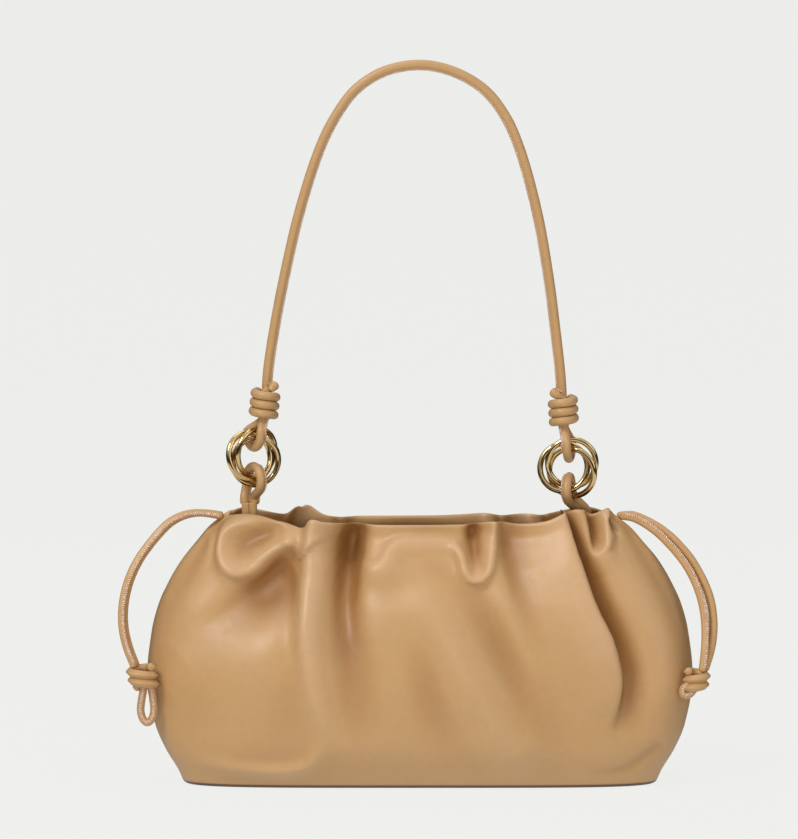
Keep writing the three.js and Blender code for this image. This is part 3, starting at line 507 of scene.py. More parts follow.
# the body: one soft skin gathered at the mouth
bagBody = {
    "width": 0.300,
    "depth": 0.112,
    "height": 0.143,
    "leather": 0.0022,
    "hemWall": 0.0034,
    "hemHeight": 0.014,
    "rimRise": 0.008,
    "rimRiseAt": (0.88, 0.25, 0.11),  # shares of the mouth: the highest place, the reach inwards and outwards
    "foldDepth": 0.011,
    "foldReach": 0.045,  # no fold shows farther than this from its line
    # how far the level normal faces a way, from where that way's folds or rim begin to where they are full
    "faceBlend": (0.1, 0.5),
    "endBlend": (0.35, 0.8),
    "rimBlend": (0.0, 0.45),
    "baseFade": 0.06,  # folds fade out below this share of the height
    "riseFrom": 0.6,  # the rim's rise begins here, and its own line here
    "lineFrom": 0.75,
    "baseEdge": 0.0016,  # how round the edge of the base is
    "baseRings": (0.036, 0.024, 0.012, 0.005),  # how far in from the outline, under the base
    "columns": 420,
    "outsideRows": 150,
    "insideRows": 44,
    "reliefDepth": 0.006,  # how far a fold stands out from the blurred skin for the full change of colour: painted shade in its valleys, lighter wear on its ridges
    "reliefBlur": 160,
    # height, half width, half depth, squareness, as shares
    "sections": [
        (0, 0.867, 0.69, 4.5), (0.05, 0.888, 0.78, 4.2), (0.13, 0.935, 0.9, 3.6), (0.22, 0.973, 0.96, 3.1),
        (0.385, 1, 1, 2.7), (0.57, 0.98, 0.95, 2.5), (0.68, 0.95, 0.88, 2.4), (0.76, 0.913, 0.8, 2.3),
        (0.83, 0.873, 0.715, 2.25), (0.9, 0.823, 0.595, 2.2), (0.95, 0.783, 0.52, 2.15), (1, 0.72, 0.53, 2.1),
    ],
    # how high the rim stands above the middle of the mouth, in mm, from left to right
    "frontRim": [
        (-0.72, 3), (-0.67, 4), (-0.62, 4.3), (-0.58, 3.6), (-0.53, 1.6), (-0.49, 0.4), (-0.45, -1.4),
        (-0.43, -2), (-0.41, -1), (-0.385, 2), (-0.36, 2.8), (-0.33, 1.4), (-0.25, 0), (0.15, 0), (0.22, 0.8),
        (0.255, 1.8), (0.3, 1.2), (0.36, 0), (0.44, 1.2), (0.49, 4.8), (0.52, 6.2), (0.545, 5.2), (0.56, 6.2),
        (0.58, 7.2), (0.62, 6.3), (0.638, 4.4), (0.66, 6.6), (0.685, 7.6), (0.71, 5.6), (0.72, 4),
    ],
    "backRim": [
        (-0.72, 5), (-0.655, 6), (-0.6, 4.5), (-0.54, 2.6), (-0.51, 2.6), (-0.49, 4.2), (-0.47, 5.6),
        (-0.45, 5.9), (-0.435, 5.2), (-0.42, 5.9), (-0.4, 5.4), (-0.375, 2.6), (-0.35, 0.6), (-0.3, 0.2),
        (0.05, 0.2), (0.2, 1.1), (0.34, 1.2), (0.44, 1), (0.52, 3.5), (0.6, 5.6), (0.72, 4),
    ],
    # the line a fold follows, as x, z and strength; its depth; its reach to both sides; how far it leans over
    "front": [
        ([(-0.601, 0.966, 0.5), (-0.66, 0.957, 0.8), (-0.697, 0.936, 0.9), (-0.711, 0.887, 0.9),
          (-0.689, 0.833, 1), (-0.649, 0.802, 1), (-0.605, 0.815, 1), (-0.568, 0.856, 1), (-0.532, 0.904, 1),
          (-0.488, 0.938, 0.9), (-0.447, 0.961, 0.6), (-0.411, 0.978, 0.2)], 0.55, 0.035, 0.027, -0.15),
        ([(-0.513, 0.952, 0.4), (-0.473, 0.941, 1), (-0.444, 0.923, 0.4)], 0.32, 0.038, 0.035, 0),
        ([(-0.521, 0.954, 0.6), (-0.579, 0.922, 1), (-0.634, 0.888, 1), (-0.649, 0.855, 0.7)], -0.36, 0.038,
          0.035, 0),
        ([(-0.469, 0.842, 0.5), (-0.528, 0.801, 1), (-0.594, 0.747, 1), (-0.671, 0.693, 0.6),
          (-0.763, 0.621, 0.25), (-0.88, 0.515, 0)], -1.36, 0.065, 0.123, 0),
        ([(-0.407, 0.861, 0.5), (-0.436, 0.77, 0.9), (-0.462, 0.645, 0.4), (-0.491, 0.475, 0)], -0.55, 0.046,
          0.05, 0),
        ([(-0.499, 0.673, 0.2), (-0.579, 0.474, 1), (-0.704, 0.203, 0.3)], 0.22, 0.115, 0.115, 0),
        ([(-0.348, 1.043, 0.9), (-0.374, 0.937, 1), (-0.4, 0.809, 0.9), (-0.403, 0.609, 0.6),
          (-0.374, 0.381, 0.4), (-0.301, 0.128, 0)], 1.18, 0.05, 0.065, -0.23),
        ([(-0.231, 1.032, 0.2), (-0.242, 0.98, 0.7), (-0.257, 0.921, 1), (-0.264, 0.863, 0.95),
          (-0.271, 0.796, 0.6), (-0.275, 0.703, 0.25), (-0.268, 0.572, 0.08), (-0.257, 0.458, 0)], -2.09,
          0.042, 0.05, 0),
        ([(-0.286, 0.851, 0.3), (-0.282, 0.722, 1), (-0.264, 0.572, 0.8), (-0.235, 0.381, 0.4),
          (-0.198, 0.187, 0)], -0.55, 0.077, 0.092, 0),
        ([(-0.22, 0.848, 0.3), (-0.18, 0.845, 0.8), (-0.136, 0.864, 1), (-0.117, 0.904, 1),
          (-0.088, 0.933, 1), (0.015, 0.941, 1), (0.103, 0.933, 1), (0.139, 0.9, 0.7), (0.161, 0.863, 0.2)],
          0.41, 0.054, 0.019, 0),
        ([(0.128, 0.926, 0.5), (0.147, 0.886, 1), (0.158, 0.838, 1), (0.18, 0.801, 1), (0.213, 0.797, 1),
          (0.242, 0.826, 1), (0.26, 0.885, 1), (0.268, 0.965, 1), (0.271, 1.047, 0.8)], 0.5, 0.019, 0.027,
          0),
        ([(0.191, 1.013, 0.1), (0.191, 0.976, 1), (0.191, 0.94, 0.7), (0.198, 0.889, 0.5),
          (0.213, 0.848, 0.2)], -0.91, 0.023, 0.038, 0),
        ([(0.216, 0.976, 0.5), (0.227, 0.925, 1), (0.224, 0.87, 0.6)], 0.24, 0.012, 0.019, 0),
        ([(0.308, 1.015, 0.7), (0.315, 0.923, 1), (0.341, 0.794, 0.7), (0.381, 0.646, 0.3),
          (0.425, 0.514, 0)], -0.5, 0.031, 0.077, 0),
        ([(0.257, 0.804, 0.6), (0.304, 0.722, 1), (0.367, 0.571, 0.7), (0.422, 0.342, 0.2)], 0.27, 0.062,
          0.054, 0),
        ([(0.018, 0.723, 0.4), (0.154, 0.477, 1), (0.348, 0.168, 0.6)], 0.41, 0.1, 0.077, 0),
        ([(0.213, 0.76, 0.5), (0.293, 0.553, 1), (0.458, 0.245, 0.2)], -0.27, 0.077, 0.069, 0),
        ([(-0.007, 0.686, 0.2), (0.037, 0.382, 1), (0.117, 0.14, 0.3)], -0.2, 0.077, 0.069, 0),
        ([(0.403, 0.862, 0.3), (0.477, 0.681, 1), (0.587, 0.379, 0.4)], 0.22, 0.092, 0.092, 0),
        ([(0.491, 1.054, 0.5), (0.502, 1.001, 0.8), (0.532, 0.904, 0.9), (0.605, 0.709, 0.9),
          (0.671, 0.567, 0.9), (0.711, 0.434, 0.4), (0.697, 0.281, 0)], 0.73, 0.1, 0.027, 0.36),
        ([(0.51, 1.033, 0.8), (0.55, 0.901, 1), (0.62, 0.709, 1), (0.693, 0.552, 0.8), (0.741, 0.399, 0.45),
          (0.704, 0.203, 0)], -1.64, 0.015, 0.081, 0),
        ([(0.55, 1.026, 0.8), (0.583, 0.958, 1), (0.62, 0.879, 0.8), (0.675, 0.781, 0.1)], 0.73, 0.035,
          0.046, 0),
        ([(0.623, 1.014, 0.5), (0.642, 0.947, 1), (0.651, 0.896, 1), (0.66, 0.857, 0.2)], -0.91, 0.019,
          0.019, 0),
        ([(0.638, 0.998, 0.7), (0.667, 0.998, 0.9), (0.671, 0.952, 1), (0.664, 0.893, 0.7),
          (0.671, 0.86, 0.2)], 0.45, 0.023, 0.031, 0),
        ([(0.7, 0.958, 1), (0.708, 0.945, 0.8)], -0.73, 0.015, 0.019, 0),
        ([(0.656, 0.847, 0.6), (0.678, 0.875, 1), (0.7, 0.91, 0.6)], 0.15, 0.012, 0.019, 0),
        ([(-0.198, 0.775, 0.4), (-0.092, 0.753, 1), (0.029, 0.775, 0.3)], -0.15, 0.054, 0.062, 0),
        ([(0.807, 0.749, 0.5), (0.895, 0.54, 1), (0.88, 0.236, 0.5)], 0.27, 0.085, 0.077, 0),
        ([(-0.843, 0.113, 0), (-0.66, 0.078, 0.7), (-0.469, 0.072, 1), (-0.396, 0.1, 0.7),
          (-0.356, 0.179, 0)], 0.38, 0.027, 0.031, 0),
        ([(0.616, 0.059, 0.2), (0.741, 0.077, 1), (0.865, 0.163, 1)], -0.14, 0.019, 0.019, 0),
        ([(-0.796, 0.962, 0.6), (-0.77, 0.913, 1), (-0.785, 0.845, 0.2)], 0.12, 0.019, 0.019, 0),
        ([(-0.741, 0.969, 0.6), (-0.737, 0.909, 1), (-0.763, 0.83, 0.2)], -0.14, 0.015, 0.019, 0),
    ],
    "back": [
        ([(-0.6, 1.03, 1), (-0.66, 0.752, 0.6), (-0.72, 0.42, 0.2)], 0.7, 0.045, 0.06),
        ([(-0.5, 1.02, 1), (-0.555, 0.768, 0.5), (-0.62, 0.45, 0)], -0.8, 0.045, 0.05),
        ([(-0.4, 1.03, 1), (-0.4, 0.708, 0.6), (-0.36, 0.3, 0.2)], 0.8, 0.05, 0.06),
        ([(-0.3, 1, 1), (-0.28, 0.763, 0.5), (-0.22, 0.45, 0)], -0.7, 0.04, 0.05),
        ([(-0.22, 0.92, 1), (-0.005, 0.94, 1), (0.2, 0.9, 1)], 0.45, 0.06, 0.03),
        ([(0.24, 1.02, 1), (0.235, 0.718, 0.6), (0.18, 0.35, 0.2)], 0.6, 0.05, 0.045),
        ([(0.31, 1, 1), (0.343, 0.785, 0.5), (0.38, 0.5, 0)], -0.8, 0.045, 0.045),
        ([(0.39, 1.03, 1), (0.463, 0.688, 0.6), (0.56, 0.28, 0.2)], 0.75, 0.055, 0.045),
        ([(0.47, 1.02, 1), (0.557, 0.775, 0.5), (0.66, 0.48, 0)], -0.6, 0.035, 0.04),
        ([(0.6, 1.03, 1), (0.67, 0.828, 0.5), (0.76, 0.6, 0)], 0.6, 0.05, 0.045),
        ([(0.1, 0.7, 0.6), (-0.115, 0.495, 0.7), (-0.4, 0.24, 0.8)], 0.4, 0.09, 0.09),
    ],
    "ends": [
        ([(-0.16, 0.97, 1), (-0.295, 0.78, 0.5), (-0.42, 0.55, 0)], -0.25, 0.04, 0.04),
        ([(0.16, 0.97, 1), (0.293, 0.768, 0.5), (0.45, 0.5, 0)], -0.3, 0.04, 0.04),
        ([(0, 0.86, 1), (0.01, 0.578, 0.5), (0, 0.25, 0)], 0.2, 0.06, 0.06),
    ],
}


def sectionAt(table, which, up):
    # a table's column on a smooth curve: a cubic between rows, its slopes from the rows on both sides
    rows = np.array(table)
    ups, values = rows[:, 0], rows[:, which]
    low = np.maximum(np.arange(len(ups)) - 1, 0)
    high = np.minimum(np.arange(len(ups)) + 1, len(ups) - 1)
    slopes = (values[high] - values[low]) / (ups[high] - ups[low])
    i = np.clip(np.searchsorted(ups, up, side="right") - 1, 0, len(ups) - 2)
    step = ups[i + 1] - ups[i]
    t = (up - ups[i]) / step
    rise = t * t * (3 - 2 * t) * (values[i + 1] - values[i])
    return values[i] + rise + step * (slopes[i] * t * (1 - t) ** 2 - slopes[i + 1] * t * t * (1 - t))


def foldsAt(rows, x, z, half, spec):
    # each fold adds depth*strength*exp(-(d/width)^2), d being the distance to its curved line, its strength
    # the line's own at the nearest point, and its width the one of the side the point is on. A fold that leans
    # also moves the leather sideways by lean*strength*exp(-(d/width)^2). The strength rides along as the
    # line's third coordinate, in thousandths so that it hardly counts as a distance.
    thousandth, reach = 0.001, spec["foldReach"]
    out, leanX, leanZ = np.zeros_like(x), np.zeros_like(x), np.zeros_like(x)
    for path, deep, left, right, *lean in rows:
        line = curveThrough(np.array(path) * [half, spec["height"], thousandth], 6)
        near = (
            (x > line[:, 0].min() - reach) & (x < line[:, 0].max() + reach)
            & (z > line[:, 1].min() - reach) & (z < line[:, 1].max() + reach)
        )
        px, pz = x[near][None], z[near][None]
        tx, tz, ts = np.diff(line, axis=0).T[:, :, None]
        ax, az, strong = line[:-1].T[:, :, None]
        part = np.clip(((px - ax) * tx + (pz - az) * tz) / (tx * tx + tz * tz), 0, 1)
        gap = np.hypot(px - ax - part * tx, pz - az - part * tz)
        best = gap.argmin(0)
        pick = (best, np.arange(gap.shape[1]))
        side = (tx * (pz - az) - tz * (px - ax))[pick]
        width = np.where(side > 0, right, left) * spec["height"]
        strength = (strong + ts * part)[pick] / thousandth
        bump = spec["foldDepth"] * strength * np.exp(-((gap[pick] / width) ** 2))
        out[near] += deep * bump
        if lean and lean[0]:
            size = np.hypot(tx, tz)[best, 0]
            leanX[near] -= lean[0] * bump * tz[best, 0] / size
            leanZ[near] += lean[0] * bump * tx[best, 0] / size
    return out, leanX, leanZ


def bodyGrid(turn, up, inset, spec):
    # turn goes round from the left end past the front, up is the share of the height, inset is how far inside.
    # A superellipse at each height, pushed out along its level normal by the folds. Folds of the front, the
    # back and the ends count where that normal faces their way, and none reaches the base.
    angle = (np.pi + turn * 2 * np.pi)[None, :]
    up, inset = up[:, None], inset[:, None]
    c, s = np.cos(angle), np.sin(angle)
    a = sectionAt(spec["sections"], 1, up) * spec["width"] / 2
    b = sectionAt(spec["sections"], 2, up) * spec["depth"] / 2
    n = sectionAt(spec["sections"], 3, up)
    k = (np.abs(c) ** n + np.abs(s) ** n) ** (-1 / n)
    x, y = a * c * k, b * s * k
    z = up * spec["height"] + 0 * x
    nx = np.sign(c) * np.abs(c * k) ** (n - 1) / a
    ny = np.sign(s) * np.abs(s * k) ** (n - 1) / b
    length = np.hypot(nx, ny)
    nx, ny = nx / length, ny / length
    facing = smooth(*spec["faceBlend"], -ny)
    out, leanX, leanZ = (facing * part for part in foldsAt(spec["front"], x, z, spec["width"] / 2, spec))
    out += smooth(*spec["faceBlend"], ny) * foldsAt(spec["back"], x, z, spec["width"] / 2, spec)[0]
    out += smooth(*spec["endBlend"], np.abs(nx)) * foldsAt(spec["ends"], y, z, spec["depth"] / 2, spec)[0]
    settled = out * smooth(0, spec["baseFade"], up)
    # the rim: a rise near each end of the mouth, changed to the tables where the skin faces front or back
    mouth = spec["sections"][-1][1]
    share = np.clip(x / (spec["width"] / 2), -mouth, mouth)
    reach = np.abs(x) / (mouth * spec["width"] / 2)
    peak, inner, outer = spec["rimRiseAt"]
    swell = spec["rimRise"] * np.exp(-(((reach - peak) / np.where(reach < peak, inner, outer)) ** 2))
    wavy = [sectionAt(spec[which], 1, share) / 1000 for which in ("frontRim", "backRim")]
    own = sum(smooth(*spec["rimBlend"], way) * (line - swell) for way, line in zip((-ny, ny), wavy))
    lift = smooth(spec["riseFrom"], 1, up) * swell + smooth(spec["lineFrom"], 1, up) * own
    push = settled - inset
    return np.stack([x + nx * push + leanX, y + ny * push, z + lift + leanZ], axis=-1), settled


def blurred(field, passes):
    # the mean of near neighbours, taken again and again, round the columns and along the rows
    for _ in range(passes):
        field = (np.roll(field, 1, 1) + 2 * field + np.roll(field, -1, 1)) / 4
        edged = np.pad(field, ((1, 1), (0, 0)), mode="edge")
        field = (edged[:-2] + 2 * edged[1:-1] + edged[2:]) / 4
    return field


def makeBody(spec):
    turn = np.arange(spec["columns"]) / spec["columns"]
    height, edge = spec["height"], spec["baseEdge"]
    swing = np.linspace(0, np.pi / 2, 5)
    # under the base, round its edge, up the outside, over the hem in a half circle, and down the inside
    baseUp, baseInset = np.zeros(len(spec["baseRings"])), np.array(spec["baseRings"])
    edgeUp, edgeInset = edge * (1 - np.cos(swing)) / height, edge * (1 - np.sin(swing))
    radius = spec["hemWall"] / 2
    outUp = np.linspace(edgeUp[-1], 1 - radius / height, spec["outsideRows"])[1:-1]
    rim = np.linspace(0, np.pi, 9)
    rimUp, rimInset = 1 - radius * (1 - np.sin(rim)) / height, radius * (1 - np.cos(rim))
    floor = spec["leather"] / height
    inUp = np.linspace(1 - radius / height, floor, spec["insideRows"])[1:]
    # the wall grows to the hem's over a short stretch at the hem's stitched edge
    hemmed = smooth(1 - 1.4 * spec["hemHeight"] / height, 1 - 0.8 * spec["hemHeight"] / height, inUp)
    inInset = spec["leather"] + (spec["hemWall"] - spec["leather"]) * hemmed
    floorInset = baseInset[-2::-1]
    up = np.concatenate([baseUp, edgeUp, outUp, rimUp, inUp, np.full(len(floorInset), floor)])
    inset = np.concatenate([baseInset, edgeInset, 0 * outUp, rimInset, inInset, floorInset])
    grid, settled = bodyGrid(turn, up, inset, spec)
    # relief: how far each point stands out from its blurred surroundings, which sets the painted shade in
    # valleys and the lighter wear on ridges
    relief = np.clip((settled - blurred(settled, spec["reliefBlur"])) / spec["reliefDepth"], -0.8, 1)
    # a painted contact shadow along the base's edge, where it meets the floor: the darkest stop of the colour
    # ramp
    relief[: len(baseUp) + len(edgeUp)] = -1  # the seam round the base, in its own shadow
    hemRows = int((inUp > 1 - spec["hemHeight"] / height).sum())
    insideFrom = len(baseUp) + len(edgeUp) + len(outUp) + len(rimUp) + hemRows
    rows = np.repeat(np.arange(len(up) - 1), spec["columns"])
    index = np.concatenate([(rows >= insideFrom).astype(int), np.zeros(spec["columns"], int),
                            np.ones(spec["columns"], int)])
    body = newPiece("gathered_body", lathed(grid), [camelNappa, suede], index)
    attribute = body.data.attributes.new("relief", "FLOAT", "POINT")
    attribute.data.foreach_set("value", np.concatenate([relief.ravel(), [0, 0]]))
    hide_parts("bag_body")
    return body


body = makeBody(bagBody)
print("body made,", len(body.data.polygons), "faces")


# strap, knots, rings and the loops that hold them, the same two ends as the frame
strap = {
    "diameter": 0.005,
    "rise": 0.182,
    "back": 0.0025,
    "tail": 0.004,
    "tailOut": 0.0052,  # how far the cut end leans out of the knot
    "ridge": 0.0006,
    "wrap": 0.0047,
    "wrapPitch": 0.0049,
    "wrapTurns": 2.6,
    "wrapPoints": 32,
    "wrapFull": 0.0001,  # how much fuller the wound cord looks than its solid
    "seamCentre": 0.27,  # the seam faces the middle of the arch, at this height
    "spacing": {"strap": 0.0014, "wrap": 0.0008},
    "sides": {"strap": 22, "wrap": 26},
    "clearance": 0.00035,
    "slack": 0.0011,
    "stitches": {"pitch": 0.0013, "high": 0.0007, "wide": 0.0011, "slant": 0.0006, "thread": 0.00034},
    # height, left leg, right leg, as shares
    "arch": [
        (0.075, 0.987, 0.988), (0.22, 0.938, 0.949), (0.365, 0.877, 0.904), (0.558, 0.78, 0.823),
        (0.752, 0.645, 0.697), (0.848, 0.542, 0.596), (0.927, 0.413, 0.448), (0.981, 0.229, 0.228),
    ],
}
rings = {"outer": 0.0296, "wire": 0.0032, "count": 3, "around": 112, "section": 28}
tabs = {
    "diameter": 0.005,
    "ridge": 0.0006,
    "spacing": 0.0009,
    "sides": 22,
    "drawnIn": (0.2, 0.3),  # share of the way to the collar, below each end of the half circle
    "seam": (0.15, 0.1),  # y and z of the way the seam faces, for each 1 inwards
    "collarSquare": 5,
    "collarEdge": (0.0007, 0.16),  # height of the rounded edge, and how far in it goes as a share
    "slit": (0.07, 0.34),  # width and depth of the collar's slit, as shares
}
# where each end's pieces stand: ringX is a share of the half width, hand the way the knot is wound
ends = {
    "left": {"sign": -1, "ringX": -0.61, "proud": 0.0093, "tab": 0.0122, "neck": 0.0076, "knotX": 0.0066,
             "lean": -0.0016, "spread": 0.0027, "yaw": 32, "phase": 305, "hand": -1},
    "right": {"sign": 1, "ringX": 0.548, "proud": 0.001, "tab": 0.0146, "neck": 0.0096, "knotX": -0.0036,
              "lean": 0.0008, "spread": 0.003, "yaw": -12, "phase": 60, "hand": 1},
}

ringRadius = (rings["outer"] - rings["wire"]) / 2
knotHeight = 3 * strap["wrapPitch"]  # room for three turns
strandGap = (strap["diameter"] + strap["clearance"]) / 2


def bunchCentre(end):
    return np.array([end["ringX"] * bagBody["width"] / 2, strap["back"],
                     bagBody["height"] + end["proud"] + end["tab"] + ringRadius])


def hookPoints(end, diameter, upward):
    # a half circle through the bunch and round its wires, in the plane of the yaw and up
    yaw = math.radians(end["yaw"])
    facing = np.array([math.sin(yaw), -math.cos(yaw), 0])
    reach = end["spread"] + rings["wire"] / 2 + diameter / 2 + strap["slack"]
    held = bunchCentre(end) + [0, 0, upward * ringRadius]
    angle = np.radians(np.arange(0, 181, 30))[:, None]
    return held + facing * np.cos(angle) * reach + np.array([0, 0, -upward]) * np.sin(angle) * reach


def knotAxis(end):
    top = bunchCentre(end) + [end["knotX"], 0, ringRadius + end["neck"] + knotHeight]
    return top, top + [end["lean"], 0, -knotHeight]


def strapEnd(end):
    # down from the cut end through the knot, round the rings and back up through the knot
    top, bottom = knotAxis(end)
    return np.vstack([
        top + [-end["sign"] * strap["tailOut"], -strandGap, strap["tail"]], top + [0, -strandGap, 0],
        bottom + [0, -strandGap, 0], hookPoints(end, strap["diameter"], 1),
        bottom + [0, strandGap, 0], top + [0, strandGap, 0],
    ])


def makeStrap(spec):
    # two legs read off the arch table, drawing together towards the crown, with a knotted end on each
    tops = [knotAxis(ends[side])[0] for side in ("left", "right")]
    crown = np.array([0, spec["back"], (tops[0][2] + tops[1][2]) / 2 + spec["rise"]])
    legs = []
    rows = np.array(spec["arch"])
    for which, top in ((1, tops[0]), (2, tops[1])):
        legs.append(np.stack([
            rows[:, which] * top[0], spec["back"] + strandGap * (1 - rows[:, 0]) ** 3,
            top[2] + rows[:, 0] * (crown[2] - top[2]),
        ], axis=1))
    route = np.vstack([strapEnd(ends["left"]), legs[0], crown, legs[1][::-1], strapEnd(ends["right"])[::-1]])
    line = evenly(curveThrough(route), spec["spacing"]["strap"])
    inward = np.array([0, spec["back"], spec["seamCentre"]]) - line
    radius = spec["diameter"] / 2
    piece = cordPiece("rolled_strap", line, inward, radius, spec["ridge"], spec["sides"]["strap"])
    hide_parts("shoulder_strap")
    stitchPiece("strap_whipstitch", line, inward, spec["stitches"], radius)


def makeStrapKnot(side, end, spec):
    # the strap's end wound round both strands: a helix on an oval core
    top, bottom = knotAxis(end)
    wide = spec["diameter"] / 2 + spec["slack"] + spec["wrap"] / 2
    deep = strandGap + wide
    turned = np.linspace(0, 1, spec["wrapPoints"])[:, None] * spec["wrapTurns"]
    angle = turned * 2 * np.pi
    centre = bottom + (top - bottom) * (spec["wrap"] / 2 + turned * spec["wrapPitch"]) / knotHeight
    helix = centre + np.hstack([-end["hand"] * np.cos(angle) * wide, -np.sin(angle) * deep, 0 * angle])
    line = evenly(curveThrough(helix), spec["spacing"]["wrap"])
    core = bottom + (top - bottom) * ((line[:, 2:] - bottom[2]) / knotHeight)
    radius = spec["wrap"] / 2 + spec["wrapFull"]
    piece = cordPiece(f"{side}_strap_wrap", line, line - core, radius, 0, spec["sides"]["wrap"])
    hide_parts(f"{side}_strap_knot")


def makeRings(side, end, spec):
    # a torus: (R + r cos v) round u, with r sin v across, then tilted, spread and turned as in the bunch
    u = np.linspace(0, 2 * np.pi, spec["around"], endpoint=False)[:, None]
    v = np.linspace(0, 2 * np.pi, spec["section"], endpoint=False)[None, :]
    wire = spec["wire"] / 2
    torus = np.stack([
        (ringRadius + wire * np.cos(v)) * np.cos(u), (ringRadius + wire * np.cos(v)) * np.sin(u),
        wire * np.sin(v) + 0 * u,
    ], axis=-1)
    tilt = math.degrees(math.asin(end["spread"] / ringRadius))
    spreadOut = torus @ turnAbout("x", tilt).T + [end["spread"], 0, 0]
    count = spec["around"] * spec["section"]
    quads = gridFaces(spec["around"] + 1, spec["section"]) % count  # the last row joins the first
    for i in range(spec["count"]):
        step = turnAbout("y", end["phase"] + 360 * i / spec["count"])
        turned = turnAbout("z", end["yaw"]) @ step @ turnAbout("x", 90)
        points = (spreadOut @ turned.T + bunchCentre(end)).reshape(-1, 3)
        grid = points, quads, np.zeros((0, 3), int)
        piece = newPiece(f"{side}_gold_ring_{i + 1}", grid, [paleGold])
        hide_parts(f"{side}_ring_{i + 1}")


def makeTab(side, end, spec):
    # the sewn loop: out of the collar, round the bottom of the bunch and back into the collar
    low, high = (np.array(corner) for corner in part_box(f"{side}_collar"))
    middle = (low + high) / 2
    radius = spec["diameter"] / 2
    apart = (spec["diameter"] + strap["clearance"]) / 2
    foot = bagBody["height"] + end["proud"] + strap["clearance"]

    def leg(which, up):
        return np.array([middle[0] + which * end["sign"] * apart, middle[1], foot + up])

    def below(point, which, share):
        towards = point + (leg(which, 0) - point) * share
        return np.array([towards[0], towards[1], point[2] - end["tab"] / 3])

    bend = hookPoints(end, spec["diameter"], -1)
    leave, arrive = spec["drawnIn"]
    route = np.vstack([
        leg(-1, 0), leg(-1, radius), below(bend[0], -1, leave), bend, below(bend[-1], 1, arrive),
        leg(1, radius), leg(1, 0),
    ])
    line = evenly(curveThrough(route), spec["spacing"])
    inward = (-end["sign"], *spec["seam"])
    piece = cordPiece(f"{side}_sewn_loop", line, inward, radius, spec["ridge"], spec["sides"])
    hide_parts(f"{side}_ring_tab")
    stitchPiece(f"{side}_loop_whipstitch", line, inward, strap["stitches"], radius)


def makeCollar(side, spec):
    # a rounded block, a superellipse carried upwards, with a slit down the middle of its front and back
    low, high = (np.array(corner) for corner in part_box(f"{side}_collar"))
    middle = (low + high) / 2
    half = (high - low) / 2
    angle = np.linspace(0, 2 * np.pi, 96, endpoint=False)[None, :]
    share = np.linspace(0, 1, 31)[:, None]
    edge, inwards = spec["collarEdge"]
    fromEdge = np.clip(1 - np.minimum(share, 1 - share) * (high[2] - low[2]) / edge, 0, 1)
    shrink = 1 - inwards * (1 - np.sqrt(1 - fromEdge**2))
    c, s = np.cos(angle), np.sin(angle)
    n = spec["collarSquare"]
    k = (np.abs(c) ** n + np.abs(s) ** n) ** (-1 / n)
    wide, deep = spec["slit"]
    slit = 1 - deep * np.exp(-((c * k / wide) ** 2)) * smooth(0.2, 0.5, np.abs(s))
    x = middle[0] + half[0] * c * k * shrink
    y = middle[1] + half[1] * s * k * slit * shrink
    z = low[2] + (high[2] - low[2]) * share + 0 * angle
    piece = newPiece(f"{side}_loop_collar", lathed(np.stack([x, y, z], axis=-1)), [camelNappa])
    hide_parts(f"{side}_collar")


makeStrap(strap)
for side, end in ends.items():
    makeStrapKnot(side, end, strap)
    makeRings(side, end, rings)
    makeTab(side, end, tabs)
    makeCollar(side, tabs)
print("strap, rings and loops made")


# floor and light
studio = {
    "floor": "#eff0ed",
    "radius": 7.0,
    "wall": 9.0,
    "curve": 1.5,  # radius of the bend between floor and wall
    "glow": 0.95,  # share of the floor's look that is its own light, so shadows stay faint
    # name, place, aim, width, height, watts, and whether shiny pieces mirror it. The rings mirror a dark room.
    "lights": [
        ("keyLight", (-1.2, -1.35, 1.85), (0, 0, 0.1), 0.9, 0.9, 25.5, True),
        ("fillLight", (1.9, -1.6, 0.9), (0, 0, 0.1), 1.2, 1.2, 5, True),
        ("frontLight", (-0.1, -2.6, 0.25), (0, 0, 0.06), 1.4, 0.6, 30, False),
        ("topLight", (0, 0.5, 2.2), (0, 0, 0.1), 1.6, 1.2, 8, True),
    ],
    # the room round the bag, from below to above: a white table, a dark room at eye level, a white ceiling
    "room": [(0.0, 1.0), (0.35, 1.0), (0.40, 0.08), (0.58, 0.03), (0.66, 0.36), (0.78, 0.80), (1.0, 0.85)],
    "roomStrength": 0.72,
}


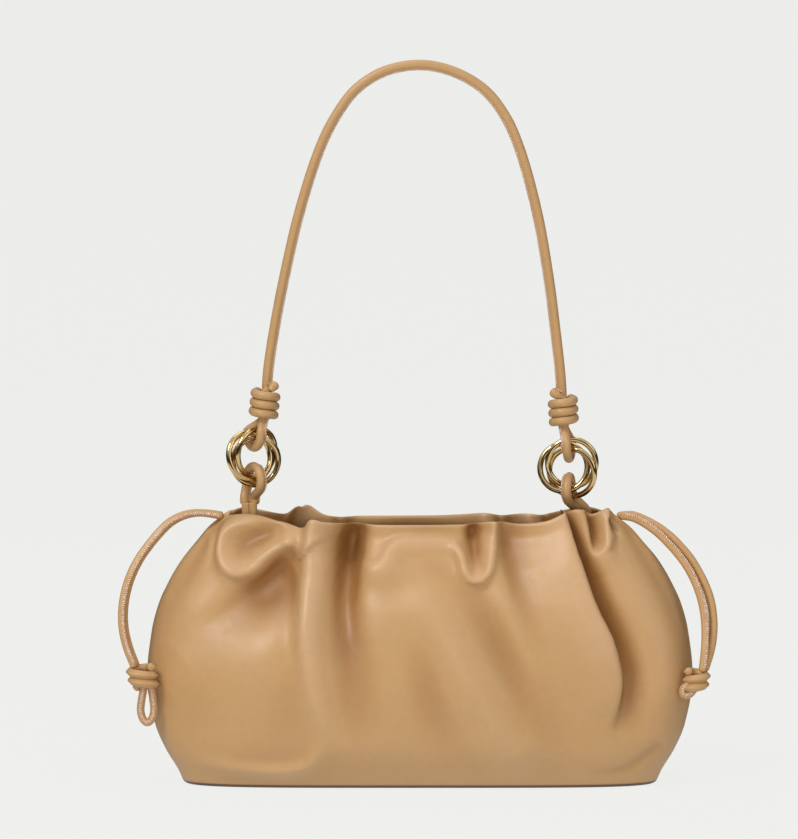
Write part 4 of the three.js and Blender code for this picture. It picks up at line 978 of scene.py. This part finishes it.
def makeStage(spec):
    # a round floor whose edge bends up into a wall: a profile turned about the upright axis
    bend = np.linspace(0, np.pi / 2, 12)
    curve = spec["curve"]
    r = np.concatenate([[0.01, 1, 3], spec["radius"] - curve + curve * np.sin(bend), [spec["radius"]]])
    z = np.concatenate([[0, 0, 0], curve - curve * np.cos(bend), [spec["wall"]]])
    angle = np.linspace(0, 2 * np.pi, 96, endpoint=False)
    grid = np.stack([r[:, None] * np.cos(angle), r[:, None] * np.sin(angle), z[:, None] + 0 * angle], axis=-1)
    mesh = bpy.data.meshes.new("studio_floor")
    points = np.vstack([grid.reshape(-1, 3), [[0, 0, 0]]])
    around = np.arange(len(angle))
    fan = np.stack([np.full(len(angle), len(points) - 1), around, (around + 1) % len(angle)], axis=1)
    mesh.from_pydata(points.tolist(), [], gridFaces(len(r), len(angle))[:, ::-1].tolist() + fan.tolist())
    mesh.polygons.foreach_set("use_smooth", [True] * len(mesh.polygons))
    floor = linked("studio_floor", mesh)
    material = bpy.data.materials.new("paleSeamlessPaper")
    tree = emptyTree(material)
    glow = addNode(tree, "ShaderNodeEmission", {"Color": toLinear(spec["floor"])})
    matt = addNode(tree, "ShaderNodeBsdfDiffuse", {"Color": toLinear(spec["floor"])})
    mix = addNode(tree, "ShaderNodeMixShader", {"Fac": 1 - spec["glow"]},
                  [(glow.outputs[0], 1), (matt.outputs[0], 2)])
    addNode(tree, "ShaderNodeOutputMaterial", {}, [(mix.outputs[0], "Surface")])
    mesh.materials.append(material)
    floor.visible_diffuse = False
    floor.visible_glossy = False
    floor.visible_shadow = False


def makeLights(spec):
    for name, place, aim, width, height, watts, mirrored in spec["lights"]:
        data = bpy.data.lights.new(name, "AREA")
        data.shape = "RECTANGLE"
        data.size, data.size_y, data.energy = width, height, watts
        lamp = linked(name, data)
        lamp.visible_glossy = mirrored
        lamp.location = place
        lamp.rotation_euler = (Vector(aim) - Vector(place)).to_track_quat("-Z", "Y").to_euler()
    world = bpy.data.worlds.new("studio")
    bpy.context.scene.world = world
    tree = emptyTree(world)
    way = addNode(tree, "ShaderNodeTexCoord", {})
    parts = addNode(tree, "ShaderNodeSeparateXYZ", {}, [(way.outputs["Generated"], "Vector")])
    sky = addNode(tree, "ShaderNodeValToRGB", {"stops": spec["room"]},
                  [(rangeOf(tree, parts.outputs["Z"], -1.0, 1.0), "Fac")])
    light = addNode(tree, "ShaderNodeBackground", {"Strength": spec["roomStrength"]},
                    [(sky.outputs["Color"], "Color")])
    addNode(tree, "ShaderNodeOutputWorld", {}, [(light.outputs[0], "Surface")])


makeStage(studio)
makeLights(studio)
print("floor and lights placed")
